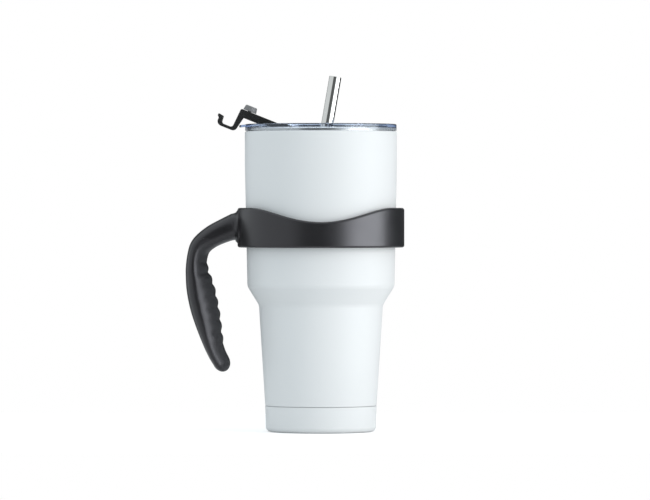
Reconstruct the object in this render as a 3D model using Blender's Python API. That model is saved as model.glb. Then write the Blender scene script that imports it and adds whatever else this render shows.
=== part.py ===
"""A 30 oz vacuum-insulated tumbler with a press-in lid, a flip closure, a steel straw and a slide-on handle.

Metres, +Z up. The origin is on the body's axis, on the face that the tumbler stands on. The handle
points along -X. The flip closure is thrown open over the handle, as it is for drinking.
"""

import math

import bmesh
import bpy
from mathutils import Matrix, Vector

MM = 0.001
GAP = 0.3 * MM  # clearance left between pieces that touch on the real object
TURN = 48  # sides of every large turned piece
SMALL_TURN = 20  # sides of every small turned piece
ARC_STEPS = 2  # straight runs in a rounded corner

# Steel body: radii and heights of the outer wall, from the lip down to the seam.
BODY_RADIUS = 50.5 * MM
SHELL_TOP = 199.5 * MM
TAPER_START = 178.0 * MM
SHOULDER_RADIUS = 48.85 * MM
SHOULDER_TOP = 96.5 * MM
WAIST_RADIUS = 41.2 * MM
WAIST_TOP = 84.2 * MM
SEAM_RADIUS = 37.0 * MM
SEAM_HEIGHT = 17.3 * MM
BASE_RADIUS = 36.6 * MM
SHOULDER_ROUND = 7.0 * MM
SHELL_WALL = 0.6 * MM
LINER_WALL = 0.5 * MM
LINER_INSET = 3.7 * MM  # from the outer face of the shell to the drink side of the liner
CUP_FLOOR = 12.0 * MM
CUP_FLOOR_ROUND = 6.0 * MM
LIP_TOP = 201.5 * MM
LIP_INNER = 46.8 * MM
LIP_OUTER = 49.1 * MM

# Base: the bottom that closes the vacuum, the cap over it and the cover plate.
SKIRT_RADIUS = 35.6 * MM
SKIRT_BOTTOM = 5.6 * MM
BOTTOM_PLATE = 6.0 * MM
PORT_RADIUS = 1.5 * MM
COVER_RADIUS = 29.2 * MM
GETTER_PLACE = 17.0 * MM

# Lid: a clear dish with a flange over the lip.
FLANGE_RADIUS = 50.3 * MM
FLANGE_TOP = 204.2 * MM
DECK_TOP = 190.4 * MM
DECK_BOTTOM = 188.0 * MM
DISH_BOTTOM_RADIUS = 43.9 * MM
DISH_TOP_RADIUS = 45.0 * MM
LID_SKIRT_RADIUS = 46.2 * MM
GROOVE_RADIUS = 45.25 * MM
GROOVE_LOW = 192.0 * MM
GROOVE_HIGH = 195.4 * MM
TAB_TIP = -54.1 * MM
TAB_HALF_WIDTH = 8.0 * MM
TAB_THICKNESS = 1.5 * MM
TAB_DROOP = 0.12  # the tongue falls this much for each unit that it reaches out
SIP_RADIUS = 4.9 * MM
STRAW_HOLE_GAP = 0.75 * MM  # round the straw, which leans
VENT_PLACE = (-31.0 * MM, 16.0 * MM)
VENT_RADIUS = 1.2 * MM

# Flip closure: sizes in its own frame, with the pin at the origin, the arm along +X and the stopper down.
PIN_PLACE = (-7.45 * MM, 193.5 * MM)
OPEN_ANGLE = 158.2  # degrees from closed to thrown open
PIN_RADIUS = 1.2 * MM
PIN_LENGTH = 17.0 * MM
LEVER_HALF_WIDTH = 5.5 * MM
LEVER_HALF_DEPTH = 2.6 * MM
STOPPER_PLACE = 44.05 * MM
STEM_RADIUS = 1.3 * MM
BUTTON_RADIUS = 2.1 * MM
POCKET_DEPTH = 1.5 * MM  # the button is sunk in the lever's far face
LUG_THICKNESS = 2.6 * MM
LUG_ROUND = 2.9 * MM

# Straw: its lean is the X and Y that it moves for each metre of height.
STRAW_RADIUS = 4.05 * MM
STRAW_WALL = 0.5 * MM
STRAW_LENGTH = 224.5 * MM
STRAW_FOOT = (-28.1 * MM, 1.15 * MM, 15.0 * MM)
STRAW_LEAN = (0.1708, 0.059)

# Handle: a collar round the body and a free-ended grip.
COLLAR_INNER = 52.4 * MM
COLLAR_OUTER = 55.4 * MM
COLLAR_BOTTOM = 122.3 * MM
COLLAR_LOW_TOP = 139.3 * MM
COLLAR_HIGH_TOP = 148.6 * MM
COLLAR_EDGE = 1.2 * MM  # chamfer of the outer edges
COLLAR_EASE = 0.6 * MM  # chamfer of the inner edges
WAVE_SPREAD = math.radians(60)
PAD_COUNT = 6
PAD_ARC = math.radians(16)
PAD_BOTTOM = 124.5 * MM
PAD_TOP = 137.5 * MM
RIDGE_COUNT = 7
RIDGE_PITCH = 8.0 * MM
RIDGE_HEIGHT = 1.2 * MM
RIDGE_START = 112.6 * MM  # height at which the first finger ridge begins
GRIP_SIDES = 16
SPAN_STEPS = 4  # rows of the grip's surface between two stations
BLUNT = 2.5  # exponent of the superellipse on the grip's outer side, and all round its root
LEAN = 1.5  # exponent on the inner side further down, where the grip narrows towards the fingers
LEAN_HEIGHTS = 126.0 * MM, 114.0 * MM  # heights between which the section changes
CREST_SHIFT = 2.3 * MM  # how far out of the middle the widest line lies, where the section leans
MORE_SHIFT = 1.4 * MM  # how much further out it lies beside the fingers
MORE_HEIGHTS = 104.0 * MM, 90.0 * MM  # heights between which it moves there
TIP_SHARES = (0.45, 0.8, 0.97)  # places of the last rows on the way to the tip

# Middle of the grip in the XZ plane, half its depth there, and half its width along Y.
ROOT_ROWS = [
    (-52.9, 136.2, 12.0, 14.6),
    (-55.0, 136.2, 12.0, 14.6),
    (-55.6, 136.1, 10.8, 13.7),
    (-56.4, 136.0, 9.7, 12.7),
]
GRIP_STATIONS = [
    (-57.4, 135.9, 9.0, 12.1),
    (-59.5, 135.3, 8.5, 11.6),
    (-63.2, 133.9, 8.0, 11.2),
    (-70.4, 130.6, 7.5, 11.2),
    (-76.4, 126.6, 7.1, 11.6),
    (-80.2, 122.3, 7.0, 12.0),
    (-82.0, 116.6, 6.8, 12.4),
    (-82.7, 110.9, 6.9, 12.7),
    (-82.5, 105.1, 7.4, 13.0),
    (-80.7, 96.5, 8.8, 13.0),
    (-78.2, 84.5, 9.1, 13.0),
    (-75.4, 72.8, 8.3, 12.6),
    (-72.4, 60.8, 6.7, 11.6),
    (-69.2, 52.3, 6.0, 10.2),
    (-66.2, 46.6, 5.7, 8.8),
]
GRIP_END = (-63.2, 40.2)
# Parting line between the frame's spine and the soft grip, from the root to the tip.
CREASE = [
    (-69.2, 118.6),
    (-71.6, 125.8),
    (-77.0, 128.6),
    (-82.0, 125.0),
    (-84.3, 118.0),
    (-84.4, 111.0),
    (-83.0, 101.9),
    (-81.1, 88.6),
    (-78.4, 75.9),
    (-75.4, 64.7),
    (-71.6, 51.4),
    (-68.2, 43.0),
    (-65.0, 36.0),
]


def clear_scene():
    for obj in list(bpy.data.objects):
        bpy.data.objects.remove(obj)


def material(name, colour, roughness, metallic=0.0, alpha=1.0):
    made = bpy.data.materials.new(name)
    made.use_nodes = True
    shader = made.node_tree.nodes["Principled BSDF"]
    shader.inputs["Base Color"].default_value = (*colour, 1.0)
    shader.inputs["Roughness"].default_value = roughness
    shader.inputs["Metallic"].default_value = metallic
    shader.inputs["Alpha"].default_value = alpha
    made.diffuse_color = (*colour, alpha)
    return made


def empty(name, place=(0, 0, 0), parent=None):
    made = bpy.data.objects.new(name, None)
    bpy.context.scene.collection.objects.link(made)
    made.parent = parent
    made.location = place
    return made


def object_from(bm, name, look=None, parent=None):
    """Closes the bmesh into a named object, smooth except at its hard edges."""
    bmesh.ops.remove_doubles(bm, verts=bm.verts, dist=1e-6)
    bmesh.ops.recalc_face_normals(bm, faces=bm.faces)
    mesh = bpy.data.meshes.new(name)
    bm.to_mesh(mesh)
    bm.free()
    mesh.shade_smooth()
    mesh.set_sharp_from_angle(angle=math.radians(35))
    made = bpy.data.objects.new(name, mesh)
    bpy.context.scene.collection.objects.link(made)
    made.parent = parent
    if look:
        mesh.materials.append(look)
    return made


def rounded(corners, closed=False, steps=ARC_STEPS):
    """A polyline whose corners (x, y, radius) are rounded by arcs of that radius."""
    count = len(corners)
    points = []
    for i, (x, y, radius) in enumerate(corners):
        here = Vector((x, y))
        at_end = not closed and i in (0, count - 1)
        if radius == 0 or at_end:
            points.append(tuple(here))
            continue
        before = (Vector(corners[i - 1][:2]) - here).normalized()
        after = (Vector(corners[(i + 1) % count][:2]) - here).normalized()
        half = before.angle(after) / 2
        centre = here + (before + after).normalized() * (radius / math.sin(half))
        start = here + before * (radius / math.tan(half)) - centre
        end = here + after * (radius / math.tan(half)) - centre
        sweep = math.atan2(start.x * end.y - start.y * end.x, start.dot(end))
        for k in range(steps + 1):
            points.append(tuple(centre + Matrix.Rotation(sweep * k / steps, 2) @ start))
    return points


def lathe(name, profile, look=None, parent=None, sides=TURN, arc=math.tau, start=0.0):
    """Turns a closed (radius, height) outline about Z, through arc radians from start."""
    bm = bmesh.new()
    turn = Matrix.Rotation(start, 4, "Z")
    verts = [bm.verts.new(turn @ Vector((r, 0, z))) for r, z in profile]
    edges = [bm.edges.new((a, b)) for a, b in zip(verts, verts[1:] + verts[:1])]
    whole = arc > math.tau - 1e-6
    if not whole:
        first = bm.faces.new(verts)
        geometry = [first]
    else:
        geometry = verts + edges
    bmesh.ops.spin(bm, geom=geometry, axis=(0, 0, 1), cent=(0, 0, 0), steps=sides, angle=arc)
    bmesh.ops.dissolve_degenerate(bm, edges=bm.edges, dist=1e-7)
    return object_from(bm, name, look, parent)


def extruded(name, outline, half_width, look=None, parent=None):
    """An (x, z) outline carried along Y from -half_width to half_width."""
    bm = bmesh.new()
    face = bm.faces.new([bm.verts.new((x, -half_width, z)) for x, z in outline])
    moved = bmesh.ops.extrude_face_region(bm, geom=[face])["geom"]
    verts = [v for v in moved if isinstance(v, bmesh.types.BMVert)]
    bmesh.ops.translate(bm, vec=(0, 2 * half_width, 0), verts=verts)
    return object_from(bm, name, look, parent)


def cylinder(name, radius, length, look=None, parent=None, place=(0, 0, 0), axis="Z", sides=SMALL_TURN):
    """A cylinder centred on place, with its length along Y or Z."""
    bm = bmesh.new()
    bmesh.ops.create_cone(
        bm, cap_ends=True, segments=sides, radius1=radius, radius2=radius, depth=length
    )
    if axis == "Y":
        bmesh.ops.rotate(bm, verts=bm.verts, matrix=Matrix.Rotation(math.radians(90), 3, "X"))
    made = object_from(bm, name, look, parent)
    made.location = place
    return made


def boolean(target, tool, operation):
    """Cuts, joins or intersects target with a helper object, which is then hidden."""
    modifier = target.modifiers.new(tool.name, "BOOLEAN")
    modifier.operation = operation
    modifier.solver = "EXACT"
    modifier.object = tool
    tool.hide_render = True
    tool.display_type = "WIRE"


def shell_radius(height):
    """Radius of the steel body's outer face at a height between the shoulder and the lip."""
    share = (height - SHOULDER_TOP) / (TAPER_START - SHOULDER_TOP)
    return SHOULDER_RADIUS + (BODY_RADIUS - SHOULDER_RADIUS) * min(share, 1.0)


def body_outline(inset, top, bottom_radius, bottom):
    """Corners of the body's wall, moved inwards by inset, from the taper down to the bottom."""
    return [
        (BODY_RADIUS - inset, top, 0),
        (BODY_RADIUS - inset, TAPER_START, 0),
        (SHOULDER_RADIUS - inset, SHOULDER_TOP, SHOULDER_ROUND),
        (WAIST_RADIUS - inset, WAIST_TOP, SHOULDER_ROUND),
        (bottom_radius, bottom, 0),
    ]


def make_outer_shell(look):
    """Outer wall: a turned-in top under the lip, the shoulder, and a skirt that the base cap covers."""
    seam = SEAM_HEIGHT + GAP / 2
    flange_edge = LIP_INNER + LINER_WALL + GAP
    lip_round = 1.2 * MM
    outside = rounded(
        [(flange_edge, SHELL_TOP, 0), (BODY_RADIUS, SHELL_TOP, lip_round)]
        + body_outline(0, SHELL_TOP - 5 * MM, SEAM_RADIUS, seam)[1:]
    )
    inside = rounded(
        [(flange_edge, SHELL_TOP - SHELL_WALL, 0)]
        + [(BODY_RADIUS - SHELL_WALL, SHELL_TOP - SHELL_WALL, lip_round - SHELL_WALL)]
        + body_outline(SHELL_WALL, 0, SEAM_RADIUS - SHELL_WALL, seam + 1.0 * MM)[1:]
    )
    skirt = [
        (SKIRT_RADIUS, seam),
        (SKIRT_RADIUS, SKIRT_BOTTOM),
        (SKIRT_RADIUS - SHELL_WALL, SKIRT_BOTTOM),
        (SKIRT_RADIUS - SHELL_WALL, seam + 1.0 * MM),
    ]
    return lathe("outer_shell", outside + skirt + inside[::-1], look)


def liner_bottom_radius():
    """Radius of the cup's inside if the lower wall ran straight on to the floor."""
    slope = (WAIST_RADIUS - SEAM_RADIUS) / (WAIST_TOP - SEAM_HEIGHT)
    return SEAM_RADIUS - LINER_INSET - slope * (SEAM_HEIGHT - CUP_FLOOR)


def make_inner_liner(look):
    """The drawn cup that holds the drink, with the bare lip curled over the outer wall."""
    low = liner_bottom_radius()
    lip_bottom = SHELL_TOP + GAP + 0.05 * MM
    curl = 0.9 * MM
    drink_side = rounded(
        [(0, CUP_FLOOR, 0), (low, CUP_FLOOR, CUP_FLOOR_ROUND)]
        + body_outline(LINER_INSET, 0, 0, 0)[3:0:-1]
        + [(LIP_INNER, LIP_TOP, curl), (LIP_OUTER, LIP_TOP, curl), (LIP_OUTER, lip_bottom, 0)]
    )
    outset = LINER_INSET - LINER_WALL
    vacuum_side = rounded(
        [(0, CUP_FLOOR - LINER_WALL, 0)]
        + [(low + LINER_WALL, CUP_FLOOR - LINER_WALL, CUP_FLOOR_ROUND + LINER_WALL)]
        + body_outline(outset, 0, 0, 0)[3:0:-1]
        + [
            (LIP_INNER + LINER_WALL, LIP_TOP - LINER_WALL, curl - LINER_WALL),
            (LIP_OUTER - LINER_WALL, LIP_TOP - LINER_WALL, curl - LINER_WALL),
            (LIP_OUTER - LINER_WALL, lip_bottom, 0),
        ]
    )
    return lathe("inner_liner", drink_side + vacuum_side[::-1], look)


def make_outer_bottom(look):
    """The plate that closes the vacuum, with the evacuation port in a raised dimple."""
    rim = SKIRT_RADIUS - SHELL_WALL - GAP
    wall = SHELL_WALL
    low = BOTTOM_PLATE
    dimple = 1.6 * MM
    corners = [
        (PORT_RADIUS, low + dimple, 0),
        (3.4 * MM, low + dimple, 0),
        (5.0 * MM, low, 0),
        (rim, low, 1.2 * MM),
        (rim, low + 4.0 * MM, 0),
        (rim - wall, low + 4.0 * MM, 0),
        (rim - wall, low + wall, 0.6 * MM),
        (4.6 * MM, low + wall, 0),
        (3.0 * MM, low + dimple + wall, 0),
        (PORT_RADIUS, low + dimple + wall, 0),
    ]
    return lathe("outer_bottom", rounded(corners, closed=True, steps=1), look)


def make_vacuum_seal(look):
    """The bead fused over the evacuation port from below."""
    top = BOTTOM_PLATE + 1.6 * MM - GAP
    corners = [
        (0, top, 0),
        (2.7 * MM, top, 0.3 * MM),
        (2.9 * MM, top - 0.9 * MM, 0.5 * MM),
        (0, top - 1.2 * MM, 0),
    ]
    return lathe("vacuum_seal", rounded(corners, steps=1), look, sides=12)


def make_getter(look, steel):
    """The gas-absorbing pellet in the vacuum, and the sheet-metal strap that holds it down."""
    floor = BOTTOM_PLATE + SHELL_WALL + GAP
    thick = 1.6 * MM
    cylinder("getter", 4.0 * MM, thick, look, place=(GETTER_PLACE, 0, floor + thick / 2))
    strap = 0.4 * MM
    reach = 8.0 * MM
    inner = 4.9 * MM
    top = floor + thick + GAP + strap
    outline = [
        (-reach, floor),
        (-inner, floor),
        (-inner, top - strap),
        (inner, top - strap),
        (inner, floor),
        (reach, floor),
        (reach, floor + strap),
        (inner + strap, floor + strap),
        (inner + strap, top),
        (-inner - strap, top),
        (-inner - strap, floor + strap),
        (-reach, floor + strap),
    ]
    made = extruded("getter_strap", outline, 2.2 * MM, steel)
    made.location.x = GETTER_PLACE


def make_base_cup(look):
    """The painted cap over the lower end of the body. Its top edge is the seam that shows."""
    top = SEAM_HEIGHT - GAP / 2
    wall = SHELL_WALL
    hole = COVER_RADIUS + GAP
    corners = [
        (SEAM_RADIUS, top, 0),
        (BASE_RADIUS, 0, 3.4 * MM),
        (hole, 0, 0),
        (hole, wall, 0),
        (BASE_RADIUS - wall, wall, 2.8 * MM),
        (SEAM_RADIUS - wall, top, 0),
    ]
    return lathe("base_cup", rounded(corners, closed=True), look)


def make_base_plate(look):
    """The cover plate in the middle of the base, held from inside by its own rim."""
    wall = SHELL_WALL
    rim = wall + GAP
    profile = [
        (0, 0),
        (COVER_RADIUS, 0),
        (COVER_RADIUS, rim),
        (COVER_RADIUS + 2.3 * MM, rim),
        (COVER_RADIUS + 2.3 * MM, rim + wall),
        (COVER_RADIUS - wall, rim + wall),
        (COVER_RADIUS - wall, wall),
        (0, wall),
    ]
    return lathe("base_plate", profile, look)


def lid_outline():
    """Half section of the clear dish: deck, drafted wall, flange over the lip and grooved skirt."""
    lip_seat = LIP_TOP + GAP
    flange_bottom = SHELL_TOP + GAP
    return rounded(
        [
            (0, DECK_TOP, 0),
            (DISH_BOTTOM_RADIUS, DECK_TOP, 1.2 * MM),
            (DISH_TOP_RADIUS, FLANGE_TOP, 0.5 * MM),
            (FLANGE_RADIUS, FLANGE_TOP, 0.7 * MM),
            (FLANGE_RADIUS, flange_bottom, 0),
            (LIP_OUTER + GAP, flange_bottom, 0),
            (LIP_OUTER + GAP, lip_seat, 0),
            (LID_SKIRT_RADIUS, lip_seat, 0),
            (LID_SKIRT_RADIUS, GROOVE_HIGH, 0),
            (GROOVE_RADIUS, GROOVE_HIGH, 0),
            (GROOVE_RADIUS, GROOVE_LOW, 0),
            (LID_SKIRT_RADIUS, GROOVE_LOW, 0),
            (LID_SKIRT_RADIUS - 0.3 * MM, DECK_BOTTOM, 1.4 * MM),
            (0, DECK_BOTTOM, 0),
        ]
    )


def make_tab_tool():
    """The lid's thumb tab, a rounded tongue that leaves the flange's edge over the handle."""
    bm = bmesh.new()
    root = -FLANGE_RADIUS + 1.5 * MM
    tip_round = 2.4 * MM
    corners = [
        (root, -TAB_HALF_WIDTH, 0),
        (TAB_TIP, -TAB_HALF_WIDTH, tip_round),
        (TAB_TIP, TAB_HALF_WIDTH, tip_round),
        (root, TAB_HALF_WIDTH, 0),
    ]
    top = FLANGE_TOP - 0.2 * MM

    def height(x):
        return top - TAB_DROOP * (root - x) - TAB_THICKNESS

    outline = rounded(corners, closed=True)
    face = bm.faces.new([bm.verts.new((x, y, height(x))) for x, y in outline])
    moved = bmesh.ops.extrude_face_region(bm, geom=[face])["geom"]
    verts = [v for v in moved if isinstance(v, bmesh.types.BMVert)]
    bmesh.ops.translate(bm, vec=(0, 0, TAB_THICKNESS), verts=verts)
    return object_from(bm, "tab_tool")


def make_lid(look, parent):
    """The clear lid, with its thumb tab, the two hinge lugs, and the sip, straw and vent holes."""
    lid = lathe("lid_body", lid_outline(), look, parent)
    boolean(lid, make_tab_tool(), "UNION")
    pin_x, pin_z = PIN_PLACE
    lug_inner = LEVER_HALF_WIDTH + GAP
    lug_foot = DECK_TOP - pin_z - 1.0 * MM
    head_round = LUG_ROUND * 0.99
    lug = rounded(
        [
            (-LUG_ROUND, lug_foot, 0),
            (-LUG_ROUND, LUG_ROUND, head_round),
            (LUG_ROUND, LUG_ROUND, head_round),
            (LUG_ROUND, lug_foot, 0),
        ],
        closed=True,
    )
    for side in (-1, 1):
        tool = extruded(f"lug_tool_{'left' if side < 0 else 'right'}", lug, LUG_THICKNESS / 2)
        tool.location = (pin_x, side * (lug_inner + LUG_THICKNESS / 2), pin_z)
        boolean(lid, tool, "UNION")
    deck_middle = (DECK_TOP + DECK_BOTTOM) / 2
    straw_x, straw_y = straw_at(deck_middle)
    holes = [
        ("sip_hole_tool", pin_x + STOPPER_PLACE, 0, SIP_RADIUS),
        ("straw_hole_tool", straw_x, straw_y, STRAW_RADIUS + STRAW_HOLE_GAP),
        ("vent_tool", *VENT_PLACE, VENT_RADIUS),
    ]
    for name, x, y, radius in holes:
        boolean(lid, cylinder(name, radius, 8 * MM, place=(x, y, deck_middle)), "DIFFERENCE")
    reach = 2 * (lug_inner + LUG_THICKNESS + 1 * MM)
    pin_hole = cylinder("pin_hole_tool", PIN_RADIUS + GAP, reach, place=(pin_x, 0, pin_z), axis="Y")
    boolean(lid, pin_hole, "DIFFERENCE")
    return lid


def make_gasket(look, parent):
    """The silicone ring in the lid's groove, with two sealing fins."""
    inner = GROOVE_RADIUS + GAP
    low = GROOVE_LOW + GAP
    high = GROOVE_HIGH - GAP
    fin = LIP_INNER - GAP
    root = LID_SKIRT_RADIUS
    middle = (low + high) / 2
    profile = [
        (inner, low),
        (root, low),
        (fin, low + 0.5 * MM),
        (fin, low + 0.8 * MM),
        (root, middle),
        (fin, high - 0.8 * MM),
        (fin, high - 0.5 * MM),
        (root, high),
        (inner, high),
    ]
    return lathe("lid_gasket", profile, look, parent)


def lever_outline():
    """Side view of the closure, closed: arm, leg up the dish wall, hook over the flange and pull lip."""
    arm = LEVER_HALF_DEPTH / MM
    heel_round = arm - 0.05
    corners = [
        (-arm, -arm, heel_round),
        (50.0, -arm, 1.2),
        (50.9, 11.1, 1.8),
        (58.5, 11.1, 1.8),
        (58.9, 6.2, 0.6),
        (62.9, 5.6, 0.7),
        (62.7, 7.4, 0.5),
        (61.6, 8.4, 0.6),
        (61.9, 13.0, 3.2),
        (48.5, 13.0, 3.0),
        (46.3, arm, 0.4),
        (-arm, arm, heel_round),
    ]
    return rounded([(x * MM, z * MM, r * MM) for x, z, r in corners], closed=True)


def make_lever(look, parent):
    """The flip closure's lever, bored for the hinge pin and for the stopper's stem and button."""
    lever = extruded("flap_lever", lever_outline(), LEVER_HALF_WIDTH, look, parent)
    bore = cylinder("lever_bore_tool", PIN_RADIUS + GAP, 14 * MM, parent=parent, axis="Y")
    stem = cylinder(
        "stem_hole_tool", STEM_RADIUS + GAP, 8 * MM, parent=parent, place=(STOPPER_PLACE, 0, 0)
    )
    pocket_place = (STOPPER_PLACE, 0, LEVER_HALF_DEPTH)
    pocket = cylinder(
        "button_pocket_tool", BUTTON_RADIUS + GAP, 2 * POCKET_DEPTH, parent=parent, place=pocket_place
    )
    boolean(lever, bore, "DIFFERENCE")
    boolean(lever, stem, "DIFFERENCE")
    boolean(lever, pocket, "DIFFERENCE")
    return lever


def make_stopper(look, parent):
    """The silicone stopper, its stem through the lever and the sunk button that keeps it there."""
    face = -LEVER_HALF_DEPTH - GAP
    button_low = LEVER_HALF_DEPTH - POCKET_DEPTH + GAP
    button_high = LEVER_HALF_DEPTH - GAP
    profile = rounded(
        [
            (0, face - 3.6 * MM, 0),
            (3.9 * MM, face - 3.6 * MM, 0.6 * MM),
            (4.6 * MM, face, 0),
            (STEM_RADIUS, face, 0),
            (STEM_RADIUS, button_low, 0),
            (BUTTON_RADIUS, button_low, 0),
            (BUTTON_RADIUS - 0.1 * MM, button_high, 0.3 * MM),
            (0, button_high, 0),
        ]
    )
    stopper = lathe("flap_stopper", profile, look, parent, sides=SMALL_TURN)
    stopper.location.x = STOPPER_PLACE
    return stopper


def straw_at(height):
    """X and Y of the straw's axis at a height."""
    rise = height - STRAW_FOOT[2]
    return STRAW_FOOT[0] + STRAW_LEAN[0] * rise, STRAW_FOOT[1] + STRAW_LEAN[1] * rise


def make_straw(look, parent):
    """A straight steel tube, its foot on the cup's rounded bottom corner."""
    inner = STRAW_RADIUS - STRAW_WALL
    profile = [(inner, 0), (STRAW_RADIUS, 0), (STRAW_RADIUS, STRAW_LENGTH), (inner, STRAW_LENGTH)]
    straw = lathe("straw", profile, look, parent, sides=SMALL_TURN)
    lean = Vector((*STRAW_LEAN, 1)).normalized()
    straw.rotation_mode = "QUATERNION"
    straw.rotation_quaternion = Vector((0, 0, 1)).rotation_difference(lean)
    straw.location = Vector(STRAW_FOOT) - parent.location
    return straw


def collar_top(angle):
    """Height of the collar's top edge at an angle from +X: low at front and back, high at the sides."""
    from_front = abs(math.asin(min(1, abs(math.cos(angle)))))
    share = min(from_front / WAVE_SPREAD, 1)
    wave = (1 - math.cos(math.pi * share)) / 2
    return COLLAR_LOW_TOP + (COLLAR_HIGH_TOP - COLLAR_LOW_TOP) * wave


def make_collar(name, look, parent):
    """The band round the body, with eased edges and a wave along its top."""
    edge = COLLAR_EDGE
    ease = COLLAR_EASE
    bm = bmesh.new()
    rings = []
    for k in range(TURN):
        angle = math.tau * k / TURN
        top = collar_top(angle)
        section = [
            (COLLAR_INNER, COLLAR_BOTTOM + ease),
            (COLLAR_INNER + ease, COLLAR_BOTTOM),
            (COLLAR_OUTER - edge, COLLAR_BOTTOM),
            (COLLAR_OUTER, COLLAR_BOTTOM + edge),
            (COLLAR_OUTER, top - edge),
            (COLLAR_OUTER - edge, top),
            (COLLAR_INNER + ease, top),
            (COLLAR_INNER, top - ease),
        ]
        rings.append([bm.verts.new((r * math.cos(angle), r * math.sin(angle), z)) for r, z in section])
    for ring, following in zip(rings, rings[1:] + rings[:1]):
        for j in range(len(ring)):
            after = (j + 1) % len(ring)
            bm.faces.new((ring[j], following[j], following[after], ring[after]))
    return object_from(bm, name, look, parent)


def smooth_through(points, per_span):
    """Points of a Catmull-Rom curve through the given points, per_span of them for each span."""
    rows = [Vector(p) for p in points]
    rows = [2 * rows[0] - rows[1]] + rows + [2 * rows[-1] - rows[-2]]
    made = []
    for a, b, c, d in zip(rows, rows[1:], rows[2:], rows[3:]):
        for k in range(per_span):
            t = k / per_span
            made.append(
                0.5 * (2 * b + (c - a) * t + (2 * a - 5 * b + 4 * c - d) * t**2)
                + 0.5 * (3 * b - a - 3 * c + d) * t**3
            )
    made.append(rows[-2].copy())
    return made


def finger_ridge(height):
    """How far a finger ridge stands out of the grip's inner side at a height."""
    below = RIDGE_START - height
    if not 0 < below < RIDGE_COUNT * RIDGE_PITCH:
        return 0.0
    return RIDGE_HEIGHT * abs(math.sin(math.pi * below / RIDGE_PITCH))


def share_below(height, heights):
    """0 above the first of two heights, 1 below the second, and a smooth change between."""
    share = min(max((heights[0] - height) / (heights[0] - heights[1]), 0), 1)
    return share * share * (3 - 2 * share)


def grip_section(middle, across, depth, half_width):
    """Two half superellipses that meet at the widest line: a blunt one outside, a leaning one inside."""
    lean = share_below(middle.y, LEAN_HEIGHTS)
    shift = min(CREST_SHIFT * lean + MORE_SHIFT * share_below(middle.y, MORE_HEIGHTS), depth / 2)
    crest = middle - across * shift
    reach = depth + shift + finger_ridge(middle.y)
    inner = BLUNT + (LEAN - BLUNT) * lean
    points = []
    for k in range(GRIP_SIDES):
        angle = math.tau * k / GRIP_SIDES
        c, s = math.cos(angle), math.sin(angle)
        power = 2 / (inner if c > 0 else BLUNT)
        flat = crest + across * (reach if c > 0 else depth - shift) * math.copysign(abs(c) ** power, c)
        points.append((flat.x, math.copysign(abs(s) ** power, s) * half_width, flat.y))
    return points


def whole_grip(name):
    """The grip as one swept solid, from inside the collar's wall to the rounded tip."""
    rows = [Vector(p) for p in ROOT_ROWS] + smooth_through(GRIP_STATIONS, SPAN_STEPS)
    end = Vector(GRIP_END)
    last = rows[-1]
    to_end = end - last.xy
    for share in TIP_SHARES:
        shrink = math.sqrt(1 - share**2)
        x, z = last.xy + to_end * share
        rows.append(Vector((x, z, last.z * shrink, last.w * shrink)))
    sections = []
    for i, row in enumerate(rows):
        before = rows[max(i - 1, 0)]
        after = rows[min(i + 1, len(rows) - 1)]
        along = (after.xy - before.xy).normalized()
        if i < len(ROOT_ROWS):
            along = Vector((-1, 0))  # the root leaves the collar square to it
        across = Vector((-along.y, along.x))  # points from the outside of the bend to the body
        sections.append(grip_section(row.xy * MM, across, row.z * MM, row.w * MM))
    bm = bmesh.new()
    loops = [[bm.verts.new(p) for p in section] for section in sections]
    for loop, following in zip(loops, loops[1:]):
        for j in range(GRIP_SIDES):
            after = (j + 1) % GRIP_SIDES
            bm.faces.new((loop[j], loop[after], following[after], following[j]))
    bm.faces.new(loops[0])
    tip = bm.verts.new((end.x * MM, 0, end.y * MM))
    for j in range(GRIP_SIDES):
        bm.faces.new((loops[-1][j], loops[-1][(j + 1) % GRIP_SIDES], tip))
    return object_from(bm, name)


def grip_region(name, inset):
    """The block that holds the soft grip: everything on the body's side of the crease."""
    crease = smooth_through(CREASE, 2)
    edge = []
    for i, point in enumerate(crease):
        along = crease[min(i + 1, len(crease) - 1)] - crease[max(i - 1, 0)]
        inward = Vector((-along.y, along.x)).normalized()
        edge.append(tuple((point + inward * inset / MM) * MM))
    far = -54.0 * MM
    edge += [(far, edge[-1][1]), (far, edge[0][1])]
    return extruded(name, edge, 20 * MM)


def make_handle(frame_look, grip_look, parent):
    """The moulded frame, which is collar, root and spine in one, and the soft grip on its inner side."""
    frame = make_collar("handle_frame", frame_look, parent)
    spine = whole_grip("spine_tool")
    boolean(spine, grip_region("grip_pocket_tool", 0), "DIFFERENCE")
    boolean(frame, spine, "UNION")
    grip = whole_grip("soft_grip")
    grip.parent = parent
    grip.data.materials.append(grip_look)
    boolean(grip, grip_region("grip_block_tool", GAP), "INTERSECT")


def make_pads(look, parent):
    """Rubber pads inside the collar, which wedge on the tapered body."""
    outer = COLLAR_INNER - GAP
    profile = [
        (shell_radius(PAD_BOTTOM) + GAP, PAD_BOTTOM),
        (outer, PAD_BOTTOM),
        (outer, PAD_TOP),
        (shell_radius(PAD_TOP) + GAP, PAD_TOP),
    ]
    for k in range(PAD_COUNT):
        middle = math.tau * (k + 0.5) / PAD_COUNT
        start = middle - PAD_ARC / 2
        lathe(f"collar_pad_{k + 1}", profile, look, parent, sides=4, arc=PAD_ARC, start=start)


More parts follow.
